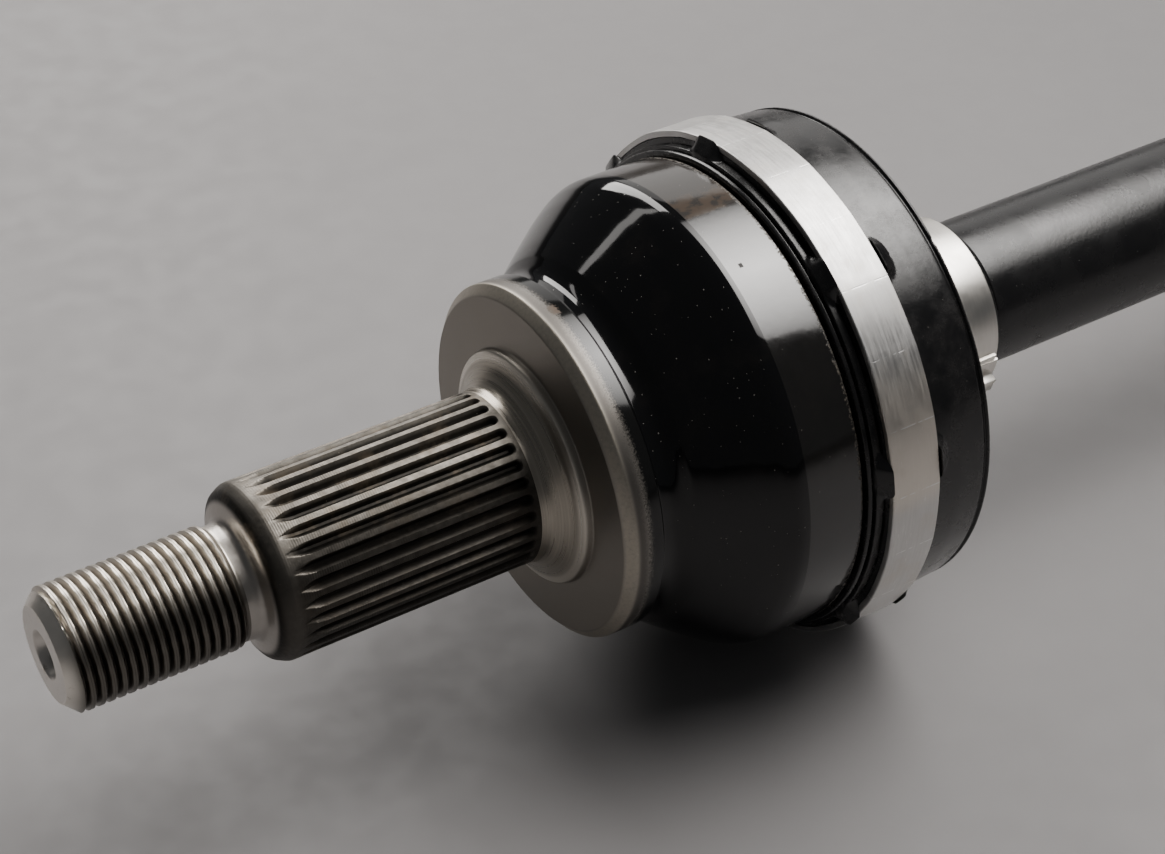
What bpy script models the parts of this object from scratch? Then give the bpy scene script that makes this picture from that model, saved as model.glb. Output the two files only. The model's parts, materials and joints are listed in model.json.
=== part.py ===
"""Front-wheel-drive CV axle: a fixed ball joint at the wheel end, a solid bar shaft, and a plunging
tripod joint at the gearbox end, each under its own boot.

Units are metres and Z is up. The axle lies along X, centred on the origin, wheel end at -X.
A station is a distance along the axle measured from the wheel-end tip of the outer stub.
An azimuth is an angle about the axle, from +Y towards +Z, in degrees.
"""

import math

import bmesh
import bpy
from mathutils import Matrix

# ---------------------------------------------------------------- driving dimensions
TOTAL_LENGTH = 0.680
GAP = 0.0003            # left between pieces that touch on the real axle

OUTER_CENTRE = 0.150    # station of the ball joint's centre
INNER_CENTRE = 0.550    # station of the tripod's centre at rest

# Outer stub and bell
THREAD_RADIUS = 0.0120
HUB_SPLINE_RADIUS = 0.0175
HUB_SPLINE_ROOT = 0.0160
HUB_SPLINE_TEETH = 32
HUB_SPLINE_END = 0.0915
SHOULDER_STATION = 0.0997
SHOULDER_RADIUS = 0.0340
BAND_STATION = 0.1315
BAND_RADIUS = 0.0486
BOOT_SEAT_STATION = 0.1436
BOOT_SEAT_RADIUS = 0.0472
BELL_MOUTH = 0.1620

# Ball joint internals
BALL_RADIUS = 0.0093
BALL_CIRCLE = 0.0320    # radius from the joint's centre to a ball's centre
BALL_COUNT = 6
FIRST_BALL_AZIMUTH = 30
TRACK_DEPTH = 0.0099    # radius of the track's section along the joint's radius
TRACK_WIDTH = 0.0125    # half width of the track's section along the circumference
TRACK_HALF_ARC = 40     # degrees each side of the middle plane
RACE_SPHERE = 0.0286
RACE_HALF_WIDTH = 0.0135
CAGE_INNER = 0.0290
CAGE_OUTER = 0.0344
CAGE_HALF_WIDTH = 0.0122
BELL_SPHERE = 0.0349
CAVITY_DEPTH = 0.0276

# Shaft
SHAFT_RADIUS = 0.0158
RACE_SPLINE_RADIUS = 0.0130
SPIDER_SPLINE_RADIUS = 0.0120
CUFF_SEAT_RADIUS = 0.0150

# Tripod joint
TRIPOD_COUNT = 3
FIRST_TRIPOD_AZIMUTH = 90
ROLLER_CIRCLE = 0.0260  # radius from the axle to a roller's middle
ROLLER_RADIUS = 0.0170
ROLLER_HALF_WIDTH = 0.0060
ROLLER_BORE = 0.0117
TRUNNION_RADIUS = 0.0084
CHANNEL_RADIUS = 0.0184
CHANNEL_TOP = 0.0363
TULIP_RADIUS = 0.0445
TULIP_BORE = 0.0255
SCALLOP_RADIUS = 0.0400
SCALLOP_DISTANCE = 0.0750
TULIP_MOUTH = 0.510
TULIP_FLOOR = 0.592
TULIP_BACK = 0.601
SEAL_JOURNAL_RADIUS = 0.0210
STUB_SPLINE_RADIUS = 0.0143
STUB_SPLINE_TEETH = 28
STUB_GROOVE = (0.6690, 0.6710)      # first and last station of the circlip's groove

# Boots and clamps
BOOT_WALL = 0.0024
OUTER_CLAMP = (0.1474, 0.1584)      # first and last station of each clamp band
OUTER_CLAMP_RADIUS = 0.0530
OUTER_NECK_CLAMP = (0.1900, 0.2010)
INNER_CLAMP = (0.5185, 0.5285)
INNER_CLAMP_RADIUS = 0.0512
INNER_NECK_CLAMP = (0.4380, 0.4460)
NECK_CLAMP_RADIUS = 0.0189
BAND_THICKNESS = 0.0012

PART_COLLECTION = "cv_axle"
CUTTER_COLLECTION = "cv_axle_cutters"

# What each main piece carries with it, as prefixes of the names of the pieces that are fixed to it
CARRIED = {
    "outer_bell": ("outer_boot_cuff", "outer_large_clamp"),
    "outer_cage": ("outer_ball", "outer_boot_fold_2"),
    "drive_shaft": ("outer_inner_race", "outer_race_circlip", "outer_boot_neck", "outer_small_clamp",
                    "tripod_spider", "tripod_circlip", "tripod_retainer", "inner_boot_neck",
                    "inner_small_clamp"),
    "inner_tulip_housing": ("inner_stub_circlip", "inner_dust_shield", "inner_boot_adapter",
                            "inner_boot_cuff", "inner_large_clamp"),
}


# ---------------------------------------------------------------- scene and materials
def clear_scene():
    for obj in list(bpy.data.objects):
        bpy.data.objects.remove(obj, do_unlink=True)


def new_collection(name):
    collection = bpy.data.collections.new(name)
    bpy.context.scene.collection.children.link(collection)
    return collection


def new_material(name, colour, metallic, roughness):
    material = bpy.data.materials.new(name)
    material.use_nodes = True
    shader = material.node_tree.nodes["Principled BSDF"]
    shader.inputs["Base Color"].default_value = (*colour, 1.0)
    shader.inputs["Metallic"].default_value = metallic
    shader.inputs["Roughness"].default_value = roughness
    return material


def make_materials():
    return {
        "bell_steel": new_material("bell_steel", (0.05, 0.05, 0.055), 0.9, 0.25),
        "shaft_paint": new_material("shaft_paint", (0.03, 0.03, 0.033), 0.0, 0.35),
        "tulip_steel": new_material("tulip_steel", (0.30, 0.29, 0.28), 1.0, 0.40),
        "bearing_steel": new_material("bearing_steel", (0.62, 0.61, 0.59), 1.0, 0.15),
        "spring_steel": new_material("spring_steel", (0.25, 0.25, 0.26), 1.0, 0.35),
        "boot_plastic": new_material("boot_plastic", (0.018, 0.018, 0.020), 0.0, 0.45),
        "clamp_steel": new_material("clamp_steel", (0.75, 0.74, 0.72), 1.0, 0.30),
        "shield_steel": new_material("shield_steel", (0.50, 0.50, 0.48), 1.0, 0.40),
        "adapter_rubber": new_material("adapter_rubber", (0.025, 0.025, 0.027), 0.0, 0.70),
    }


# ---------------------------------------------------------------- frames
def axle_x(station):
    return station - TOTAL_LENGTH / 2


def axle_frame(station, turn=0.0):
    """Local +Z along the axle, origin at the station, turned about the axle by `turn` radians."""
    place = Matrix.Translation((axle_x(station), 0, 0))
    return place @ Matrix.Rotation(turn, 4, "X") @ Matrix.Rotation(math.pi / 2, 4, "Y")


def radial_frame(station, azimuth):
    """Local +Z along the radius at this azimuth, origin on the axle, local +X towards -X."""
    place = Matrix.Translation((axle_x(station), 0, 0))
    turn = Matrix.Rotation(math.radians(azimuth) - math.pi / 2, 4, "X")
    return place @ turn


# ---------------------------------------------------------------- shape helpers
def add_object(name, mesh, collection, material=None, frame=None):
    obj = bpy.data.objects.new(name, mesh)
    collection.objects.link(obj)
    obj.matrix_world = frame or Matrix()
    if material:
        mesh.materials.append(material)
    if collection.name == CUTTER_COLLECTION:
        obj.hide_render = True
        obj.display_type = "WIRE"
    return obj


def arc(centre, radius, start, end, steps):
    """(station, radius) points of an arc of a meridian; degrees from the middle plane towards +X."""
    points = []
    for i in range(steps + 1):
        angle = math.radians(start + (end - start) * i / steps)
        points.append((centre + radius * math.sin(angle), radius * math.cos(angle)))
    return points


def sphere_edge(radius, offset):
    """Degrees from the middle plane to where a sphere of this radius reaches this offset."""
    return math.degrees(math.asin(offset / radius))


def turned(name, outer, collection, material=None, inner=(), origin=0.0, frame=None, segments=48):
    """A turned solid from its outline in rising stations. `inner` is the bore's outline, also rising."""
    loop = list(reversed(outer)) + list(inner)
    mesh = bpy.data.meshes.new(name)
    edges = [(i, i + 1) for i in range(len(loop) - 1)]
    if inner:
        edges.append((len(loop) - 1, 0))
    mesh.from_pydata([(radius, 0, station - origin) for station, radius in loop], edges, [])
    placed = frame or axle_frame(origin, math.pi / segments)
    obj = add_object(name, mesh, collection, material, placed)
    screw = obj.modifiers.new("turn", "SCREW")
    screw.axis = "Z"
    screw.angle = math.tau
    screw.steps = segments
    screw.render_steps = segments
    screw.use_smooth_shade = True
    screw.use_merge_vertices = True
    screw.merge_threshold = 0.00001
    return obj


def boolean(obj, cutter, operation="DIFFERENCE"):
    modifier = obj.modifiers.new(cutter.name, "BOOLEAN")
    modifier.operation = operation
    modifier.solver = "EXACT"
    modifier.object = cutter


def mesh_from(bm, name):
    bmesh.ops.recalc_face_normals(bm, faces=bm.faces)
    mesh = bpy.data.meshes.new(name)
    bm.to_mesh(mesh)
    bm.free()
    return mesh


def repeated(name, source, turns):
    """One mesh that holds `source` turned about X by each of these angles in degrees."""
    bm = bmesh.new()
    for turn in turns:
        first = len(bm.verts)
        bm.from_mesh(source)
        bm.verts.ensure_lookup_table()
        matrix = Matrix.Rotation(math.radians(turn), 3, "X")
        bmesh.ops.rotate(bm, matrix=matrix, verts=bm.verts[first:])
    return mesh_from(bm, name)


def block(name, low, high, bevel=0.0):
    """A box between two corners; `bevel` rounds its edges that run along Y."""
    bm = bmesh.new()
    bmesh.ops.create_cube(bm, size=1.0)
    for vert in bm.verts:
        vert.co = [low[i] + (high[i] - low[i]) * (vert.co[i] + 0.5) for i in range(3)]
    if bevel:
        along_y = [e for e in bm.edges if abs(e.verts[0].co.y - e.verts[1].co.y) > 1e-6]
        bmesh.ops.bevel(bm, geom=along_y, offset=bevel, segments=2, affect="EDGES", profile=0.5)
    return mesh_from(bm, name)


def even_azimuths(first, count):
    return [first + 360 * i / count for i in range(count)]


# ---------------------------------------------------------------- cutters shared by pieces
def track_cutters(cutters):
    """Six tubes that follow the balls' paths about the joint's centre."""
    curve = bpy.data.curves.new("ball_track_path", "CURVE")
    curve.dimensions = "3D"
    curve.bevel_depth = TRACK_DEPTH
    curve.bevel_resolution = 3
    curve.use_fill_caps = True
    path = arc(0.0, BALL_CIRCLE, -TRACK_HALF_ARC, TRACK_HALF_ARC, 8)
    spline = curve.splines.new("POLY")
    spline.points.add(len(path) - 1)
    for point, (offset, radius) in zip(spline.points, path):
        point.co = (offset, radius, 0, 1)
    guide = bpy.data.objects.new("ball_track_path", curve)
    cutters.objects.link(guide)
    bpy.context.view_layer.update()
    graph = bpy.context.evaluated_depsgraph_get()
    tube = bpy.data.meshes.new_from_object(guide.evaluated_get(graph))
    bpy.data.objects.remove(guide, do_unlink=True)
    bm = bmesh.new()
    bm.from_mesh(tube)
    bmesh.ops.remove_doubles(bm, verts=bm.verts, dist=0.000001)
    bmesh.ops.scale(bm, vec=(1, 1, TRACK_WIDTH / TRACK_DEPTH), verts=bm.verts)
    one = mesh_from(bm, "ball_track")
    mesh = repeated("ball_tracks", one, even_azimuths(FIRST_BALL_AZIMUTH, BALL_COUNT))
    return add_object("ball_tracks", mesh, cutters, frame=Matrix.Translation((axle_x(OUTER_CENTRE), 0, 0)))


def spline_cutters(name, cutters, teeth, root, crest, start, end):
    """V-sided grooves round a shaft, each with a sloping run-out at its far end."""
    pitch = math.tau * crest / teeth
    above = crest + (crest - root)
    floor = 0.16 * pitch
    top = 0.52 * pitch
    run_out = 0.0015
    one = block(name + "_groove", (start, root, -1.0), (end, above, 1.0))
    for vert in one.vertices:
        at_top = vert.co.y > (root + above) / 2
        vert.co.z = math.copysign(top if at_top else floor, vert.co.z)
        if vert.co.x > (start + end) / 2 and not at_top:
            vert.co.x -= run_out
    mesh = repeated(name, one, even_azimuths(0, teeth))
    return add_object(name, mesh, cutters, frame=Matrix.Translation((axle_x(0), 0, 0)))


def trilobe(name, collection, material, start, end, growth=0.0):
    """The tulip's outline: a round bar with three scallops, grown outwards all over by `growth`."""
    radius = TULIP_RADIUS + growth
    bar = turned(name, [(start, 0), (start, radius), (end, radius), (end, 0)], collection, material,
                 origin=INNER_CENTRE, segments=48)
    boolean(bar, scallop_cutters(name + "_scallops", SCALLOP_RADIUS - growth))
    return bar


def scallop_cutters(name, radius):
    bm = bmesh.new()
    bmesh.ops.create_cone(bm, cap_ends=True, segments=48, radius1=radius, radius2=radius, depth=0.130)
    bmesh.ops.rotate(bm, matrix=Matrix.Rotation(math.pi / 2, 3, "Y"), verts=bm.verts)
    bmesh.ops.translate(bm, vec=(0, SCALLOP_DISTANCE, 0), verts=bm.verts)
    one = mesh_from(bm, name + "_one")
    waists = even_azimuths(FIRST_TRIPOD_AZIMUTH + 180 / TRIPOD_COUNT, TRIPOD_COUNT)
    mesh = repeated(name, one, waists)
    frame = Matrix.Translation((axle_x(INNER_CENTRE), 0, 0))
    return add_object(name, mesh, bpy.data.collections[CUTTER_COLLECTION], frame=frame)


def channel_cutters(cutters):
    """The three channels the rollers run in: round-sided, with a flat roof."""
    bm = bmesh.new()
    length = TULIP_FLOOR - TULIP_MOUTH + 0.005
    bmesh.ops.create_cone(bm, cap_ends=True, segments=32, radius1=CHANNEL_RADIUS,
                          radius2=CHANNEL_RADIUS, depth=length)
    bmesh.ops.rotate(bm, matrix=Matrix.Rotation(math.pi / 2, 3, "Y"), verts=bm.verts)
    bmesh.ops.translate(bm, vec=(0, ROLLER_CIRCLE, 0), verts=bm.verts)
    inside_bore = TULIP_BORE / 2
    for height, side in ((CHANNEL_TOP, 1), (inside_bore, -1)):
        cut = bmesh.ops.bisect_plane(bm, geom=bm.verts[:] + bm.edges[:] + bm.faces[:],
                                     plane_co=(0, height, 0), plane_no=(0, side, 0), clear_outer=True)
        rim = [item for item in cut["geom_cut"] if isinstance(item, bmesh.types.BMEdge)]
        bmesh.ops.edgeloop_fill(bm, edges=rim)
    one = mesh_from(bm, "roller_channel")
    mesh = repeated("roller_channels", one, even_azimuths(FIRST_TRIPOD_AZIMUTH, TRIPOD_COUNT))
    middle = TULIP_FLOOR - length / 2
    return add_object("roller_channels", mesh, cutters, frame=Matrix.Translation((axle_x(middle), 0, 0)))


# ---------------------------------------------------------------- outer joint
def make_bell(parts, cutters, material, tracks):
    outline = [
        (0.0000, 0.0), (0.0000, 0.0093), (0.0027, THREAD_RADIUS), (0.0335, THREAD_RADIUS),
        (0.0344, 0.0112), (0.0366, 0.0112), (0.0380, 0.0128), (0.0386, 0.0150), (0.0397, 0.0167),
        (0.0415, HUB_SPLINE_RADIUS), (0.0930, HUB_SPLINE_RADIUS), (0.0956, 0.0195), (0.0968, 0.0216),
        (0.0985, 0.0228), (SHOULDER_STATION, 0.0245), (SHOULDER_STATION, SHOULDER_RADIUS),
        (0.1014, 0.0362), (0.1073, 0.0362), (0.1080, 0.0352), (0.1120, 0.0352), (0.1130, 0.0370),
        (0.1200, 0.0424), (0.1262, 0.0469), (0.1294, 0.0484), (BAND_STATION, BAND_RADIUS),
        (BOOT_SEAT_STATION, BAND_RADIUS), (BOOT_SEAT_STATION, BOOT_SEAT_RADIUS),
        (BELL_MOUTH - 0.0015, BOOT_SEAT_RADIUS), (BELL_MOUTH, 0.0457), (BELL_MOUTH, 0.0),
    ]
    bell = turned("outer_bell", outline, parts, material, origin=OUTER_CENTRE, segments=48)
    floor = OUTER_CENTRE - CAVITY_DEPTH
    past_mouth = BELL_MOUTH + 0.004
    chamfer_start = 0.0090
    start_angle = -sphere_edge(BELL_SPHERE, CAVITY_DEPTH)
    end_angle = sphere_edge(BELL_SPHERE, chamfer_start)
    cavity = [(floor, 0)] + arc(OUTER_CENTRE, BELL_SPHERE, start_angle, end_angle, 7)
    cavity += [(BELL_MOUTH + 0.0003, 0.0364), (past_mouth, 0.0364), (past_mouth, 0)]
    boolean(bell, turned("bell_cavity", cavity, cutters, origin=OUTER_CENTRE, segments=40))
    boolean(bell, tracks)
    boolean(bell, spline_cutters("hub_spline", cutters, HUB_SPLINE_TEETH, HUB_SPLINE_ROOT,
                                 HUB_SPLINE_RADIUS, 0.0376, HUB_SPLINE_END))
    centre_hole = [(-0.001, 0), (-0.001, 0.0052), (0.0045, 0.0020), (0.0100, 0.0020), (0.0100, 0)]
    boolean(bell, turned("stub_centre_hole", centre_hole, cutters, segments=16))


def make_inner_race(parts, material, tracks):
    edge = sphere_edge(RACE_SPHERE, RACE_HALF_WIDTH)
    start = OUTER_CENTRE - RACE_HALF_WIDTH
    end = OUTER_CENTRE + RACE_HALF_WIDTH
    bore = RACE_SPLINE_RADIUS + GAP
    race = turned("outer_inner_race", arc(OUTER_CENTRE, RACE_SPHERE, -edge, edge, 6), parts, material,
                  inner=[(start, bore), (end, bore)], origin=OUTER_CENTRE, segments=36)
    boolean(race, tracks)


def make_cage(parts, cutters, material):
    outer_edge = sphere_edge(CAGE_OUTER, CAGE_HALF_WIDTH)
    inner_edge = sphere_edge(CAGE_INNER, CAGE_HALF_WIDTH)
    cage = turned("outer_cage", arc(OUTER_CENTRE, CAGE_OUTER, -outer_edge, outer_edge, 4), parts, material,
                  inner=arc(OUTER_CENTRE, CAGE_INNER, -inner_edge, inner_edge, 4),
                  origin=OUTER_CENTRE, segments=36)
    clearance = 0.0002
    half_width = BALL_RADIUS + clearance
    half_length = BALL_RADIUS + 0.0014
    low = (-half_width, CAGE_INNER - 0.006, -half_length)
    high = (half_width, CAGE_OUTER + 0.004, half_length)
    window = block("cage_window", low, high, bevel=0.003)
    mesh = repeated("cage_windows", window, even_azimuths(FIRST_BALL_AZIMUTH, BALL_COUNT))
    frame = Matrix.Translation((axle_x(OUTER_CENTRE), 0, 0))
    boolean(cage, add_object("cage_windows", mesh, cutters, frame=frame))


def make_balls(parts, material):
    bm = bmesh.new()
    bmesh.ops.create_uvsphere(bm, u_segments=12, v_segments=7, radius=BALL_RADIUS)
    mesh = mesh_from(bm, "outer_ball")
    mesh.materials.append(material)
    for number, azimuth in enumerate(even_azimuths(FIRST_BALL_AZIMUTH, BALL_COUNT), 1):
        frame = radial_frame(OUTER_CENTRE, azimuth) @ Matrix.Translation((0, 0, BALL_CIRCLE))
        ball = bpy.data.objects.new(f"outer_ball_{number}", mesh)
        parts.objects.link(ball)
        ball.matrix_world = frame
    mesh.shade_smooth()


def make_circlip(name, parts, cutters, material, station, inner_radius, outer_radius):
    """A snap ring with a slot where its two ends meet."""
    width = 0.0014
    gap_azimuth = 270
    half_gap = 0.002
    end = station + width
    ring = turned(name, [(station, outer_radius), (end, outer_radius)], parts, material,
                  inner=[(station, inner_radius), (end, inner_radius)], origin=station, segments=20)
    low = (-width, inner_radius / 2, -half_gap)
    high = (2 * width, outer_radius * 1.2, half_gap)
    mesh = repeated(name + "_slot", block(name + "_slot", low, high), [gap_azimuth])
    frame = Matrix.Translation((axle_x(station), 0, 0))
    boolean(ring, add_object(name + "_slot", mesh, cutters, frame=frame))


def make_outer_boot(parts, material):
    """The boot's rigid cuff, its folds in three sections that flex about the joint, and its neck."""
    seat = BOOT_SEAT_RADIUS + GAP
    rim = 0.1727
    cuff = [
        (BOOT_SEAT_STATION + GAP, 0.0502), (OUTER_CLAMP[0] - GAP, 0.0502), (OUTER_CLAMP[0] - GAP, 0.0515),
        (OUTER_CLAMP[1] + GAP, 0.0515), (OUTER_CLAMP[1] + GAP, 0.0507), (rim - 0.0015, 0.0506),
        (rim, 0.0496), (rim, 0.0486),
    ]
    cavity = [(BOOT_SEAT_STATION + GAP, seat), (BELL_MOUTH + 0.001, seat), (rim - 0.0030, 0.0478)]
    turned("outer_boot_cuff", cuff, parts, material, inner=cavity, origin=OUTER_CENTRE, segments=32)
    folds = {
        "outer_boot_fold_1": [(0.1729, 0.0482), (0.1752, 0.0448), (0.1750, 0.0418)],
        "outer_boot_fold_2": [(0.1754, 0.0411), (0.1792, 0.0364), (0.1798, 0.0330)],
        "outer_boot_fold_3": [(0.1802, 0.0323), (0.1838, 0.0275), (0.1860, 0.0220)],
    }
    for name, outline in folds.items():
        turned(name, outline, parts, material, inner=offset_outline(outline, BOOT_WALL),
               origin=OUTER_CENTRE, segments=24)
    neck_end = OUTER_NECK_CLAMP[1] + 0.0015
    neck = [
        (0.1867, 0.0208), (0.1880, 0.0188), (OUTER_NECK_CLAMP[0] - GAP, 0.0180),
        (OUTER_NECK_CLAMP[0] - GAP, 0.0174), (neck_end, 0.0174),
    ]
    bore = [(0.1852, 0.0188), (0.1885, CUFF_SEAT_RADIUS + GAP), (neck_end, CUFF_SEAT_RADIUS + GAP)]
    turned("outer_boot_neck", neck, parts, material, inner=bore, origin=OUTER_CENTRE, segments=24)


def offset_outline(outline, distance):
    """The outline moved towards the joint's inside by a wall's thickness, square to each stretch."""
    moved = []
    last = len(outline) - 1
    for i, (station, radius) in enumerate(outline):
        before = outline[max(i - 1, 0)]
        after = outline[min(i + 1, last)]
        along = math.hypot(after[0] - before[0], after[1] - before[1])
        step_station = (after[1] - before[1]) / along
        step_radius = -(after[0] - before[0]) / along
        moved.append((station + distance * step_station, radius + distance * step_radius))
    return moved


# ---------------------------------------------------------------- clamps
def make_clamp(name, parts, cutters, material, band, radius, lock_azimuth, lock_width, lock_height):
    """A steel band with the raised overlap where its two ends hook together."""
    start, end = band
    middle = (start + end) / 2
    inner = radius - BAND_THICKNESS
    segments = 32
    to_flats = 1 / math.cos(math.pi / segments)
    clamp = turned(name, [(start, radius * to_flats), (end, radius * to_flats)], parts, material,
                   inner=[(start, inner * to_flats), (end, inner * to_flats)], origin=middle,
                   segments=segments)
    inset = 0.0008
    low = (start + inset - middle, radius - BAND_THICKNESS / 2, -lock_width / 2)
    high = (end - inset - middle, radius + lock_height, lock_width / 2)
    lock = block(name + "_lock", low, high)
    mesh = repeated(name + "_lock", lock, [lock_azimuth])
    frame = Matrix.Translation((axle_x(middle), 0, 0))
    boolean(clamp, add_object(name + "_lock", mesh, cutters, frame=frame), "UNION")


def make_clamps(parts, cutters, material):
    # name, band, radius, then the lock's azimuth, its width round the band and its height
    clamps = (
        ("outer_large_clamp", OUTER_CLAMP, OUTER_CLAMP_RADIUS, 315, 0.016, 0.0012),
        ("outer_small_clamp", OUTER_NECK_CLAMP, NECK_CLAMP_RADIUS, 195, 0.006, 0.0028),
        ("inner_large_clamp", INNER_CLAMP, INNER_CLAMP_RADIUS, 135, 0.012, 0.0030),
        ("inner_small_clamp", INNER_NECK_CLAMP, NECK_CLAMP_RADIUS, 135, 0.006, 0.0028),
    )
    for name, band, radius, lock_azimuth, lock_width, lock_height in clamps:
        make_clamp(name, parts, cutters, material, band, radius, lock_azimuth, lock_width, lock_height)


# ---------------------------------------------------------------- shaft
def make_shaft(parts, material):
    race_groove = (OUTER_CENTRE - RACE_HALF_WIDTH - 0.0023, OUTER_CENTRE - RACE_HALF_WIDTH - 0.0001)
    spider_groove = (INNER_CENTRE + 0.0092, INNER_CENTRE + 0.0114)
    groove_depth = 0.0013
    outline = [
        (0.1315, 0), (0.1315, 0.0118), (0.1327, RACE_SPLINE_RADIUS),
        (race_groove[0], RACE_SPLINE_RADIUS), (race_groove[0], RACE_SPLINE_RADIUS - groove_depth),
        (race_groove[1], RACE_SPLINE_RADIUS - groove_depth), (race_groove[1], RACE_SPLINE_RADIUS),
        (0.1640, RACE_SPLINE_RADIUS), (0.1650, 0.0135), (0.1862, 0.0135), (0.1885, CUFF_SEAT_RADIUS),
        (0.2030, CUFF_SEAT_RADIUS), (0.2038, SHAFT_RADIUS), (0.4352, SHAFT_RADIUS),
        (0.4360, CUFF_SEAT_RADIUS), (0.4500, CUFF_SEAT_RADIUS), (0.4508, SHAFT_RADIUS),
        (0.4570, SHAFT_RADIUS), (0.4780, 0.0130), (0.4930, SPIDER_SPLINE_RADIUS),
        (spider_groove[0], SPIDER_SPLINE_RADIUS), (spider_groove[0], SPIDER_SPLINE_RADIUS - groove_depth),
        (spider_groove[1], SPIDER_SPLINE_RADIUS - groove_depth), (spider_groove[1], SPIDER_SPLINE_RADIUS),
        (0.5630, SPIDER_SPLINE_RADIUS), (0.5640, 0.0108), (0.5640, 0),
    ]
    turned("drive_shaft", outline, parts, material, origin=TOTAL_LENGTH / 2, segments=24)


# ---------------------------------------------------------------- inner joint
def make_spider(parts, cutters, material):
    half_width = 0.0090
    start = INNER_CENTRE - half_width
    end = INNER_CENTRE + half_width
    bore = SPIDER_SPLINE_RADIUS + GAP
    hub = [(start, 0.0160), (start + 0.0015, 0.0175), (end - 0.0015, 0.0175), (end, 0.0160)]
    spider = turned("tripod_spider", hub, parts, material, inner=[(start, bore), (end, bore)],
                    origin=INNER_CENTRE, segments=30)
    tip = 0.0335
    trunnion = [(0.0145, 0), (0.0145, TRUNNION_RADIUS), (tip - 0.0008, TRUNNION_RADIUS),
                (tip, TRUNNION_RADIUS - 0.0008), (tip, 0)]
    for number, azimuth in enumerate(even_azimuths(FIRST_TRIPOD_AZIMUTH, TRIPOD_COUNT), 1):
        arm = turned(f"trunnion_{number}", trunnion, cutters, frame=radial_frame(INNER_CENTRE, azimuth),
                     segments=18)
        boolean(spider, arm, "UNION")


def make_roller(number, azimuth, parts, material):
    low = ROLLER_CIRCLE - ROLLER_HALF_WIDTH
    high = ROLLER_CIRCLE + ROLLER_HALF_WIDTH
    edge = sphere_edge(ROLLER_RADIUS, ROLLER_HALF_WIDTH)
    turned(f"tripod_roller_{number}", arc(ROLLER_CIRCLE, ROLLER_RADIUS, -edge, edge, 4), parts, material,
           inner=[(low, ROLLER_BORE), (high, ROLLER_BORE)],
           frame=radial_frame(INNER_CENTRE, azimuth), segments=24)


def make_needles(number, azimuth, parts, material):
    """A caged row of needle rollers as one fluted ring round the trunnion."""
    needles = 12
    pitch_radius = (ROLLER_BORE + TRUNNION_RADIUS) / 2
    crest = (ROLLER_BORE - TRUNNION_RADIUS) / 2 - GAP
    web = crest / 3
    curve = bpy.data.curves.new(f"needle_outline_{number}", "CURVE")
    curve.dimensions = "2D"
    curve.fill_mode = "BOTH"
    curve.extrude = ROLLER_HALF_WIDTH - 0.0008
    for side in (1, -1):
        spline = curve.splines.new("POLY")
        spline.use_cyclic_u = True
        spline.points.add(2 * needles - 1)
        for i, point in enumerate(spline.points):
            radius = pitch_radius + side * (crest if i % 2 else web)
            angle = math.pi * i / needles
            point.co = (radius * math.cos(angle), radius * math.sin(angle), 0, 1)
    frame = radial_frame(INNER_CENTRE, azimuth) @ Matrix.Translation((0, 0, ROLLER_CIRCLE))
    curve.materials.append(material)
    obj = bpy.data.objects.new(f"tripod_needles_{number}", curve)
    parts.objects.link(obj)
    obj.matrix_world = frame


def make_retainer(number, azimuth, parts, material):
    """The ring on the trunnion's end that keeps the needles and the roller on."""
    low = ROLLER_CIRCLE + ROLLER_HALF_WIDTH + 0.0003
    high = low + 0.0010
    inner = TRUNNION_RADIUS + GAP
    outer = ROLLER_BORE - 0.0005
    turned(f"tripod_retainer_{number}", [(low, outer), (high, outer)], parts, material,
           inner=[(low, inner), (high, inner)], frame=radial_frame(INNER_CENTRE, azimuth), segments=18)


def make_tripod(parts, materials):
    for number, azimuth in enumerate(even_azimuths(FIRST_TRIPOD_AZIMUTH, TRIPOD_COUNT), 1):
        make_roller(number, azimuth, parts, materials["bearing_steel"])
        make_needles(number, azimuth, parts, materials["bearing_steel"])
        make_retainer(number, azimuth, parts, materials["spring_steel"])


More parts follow.
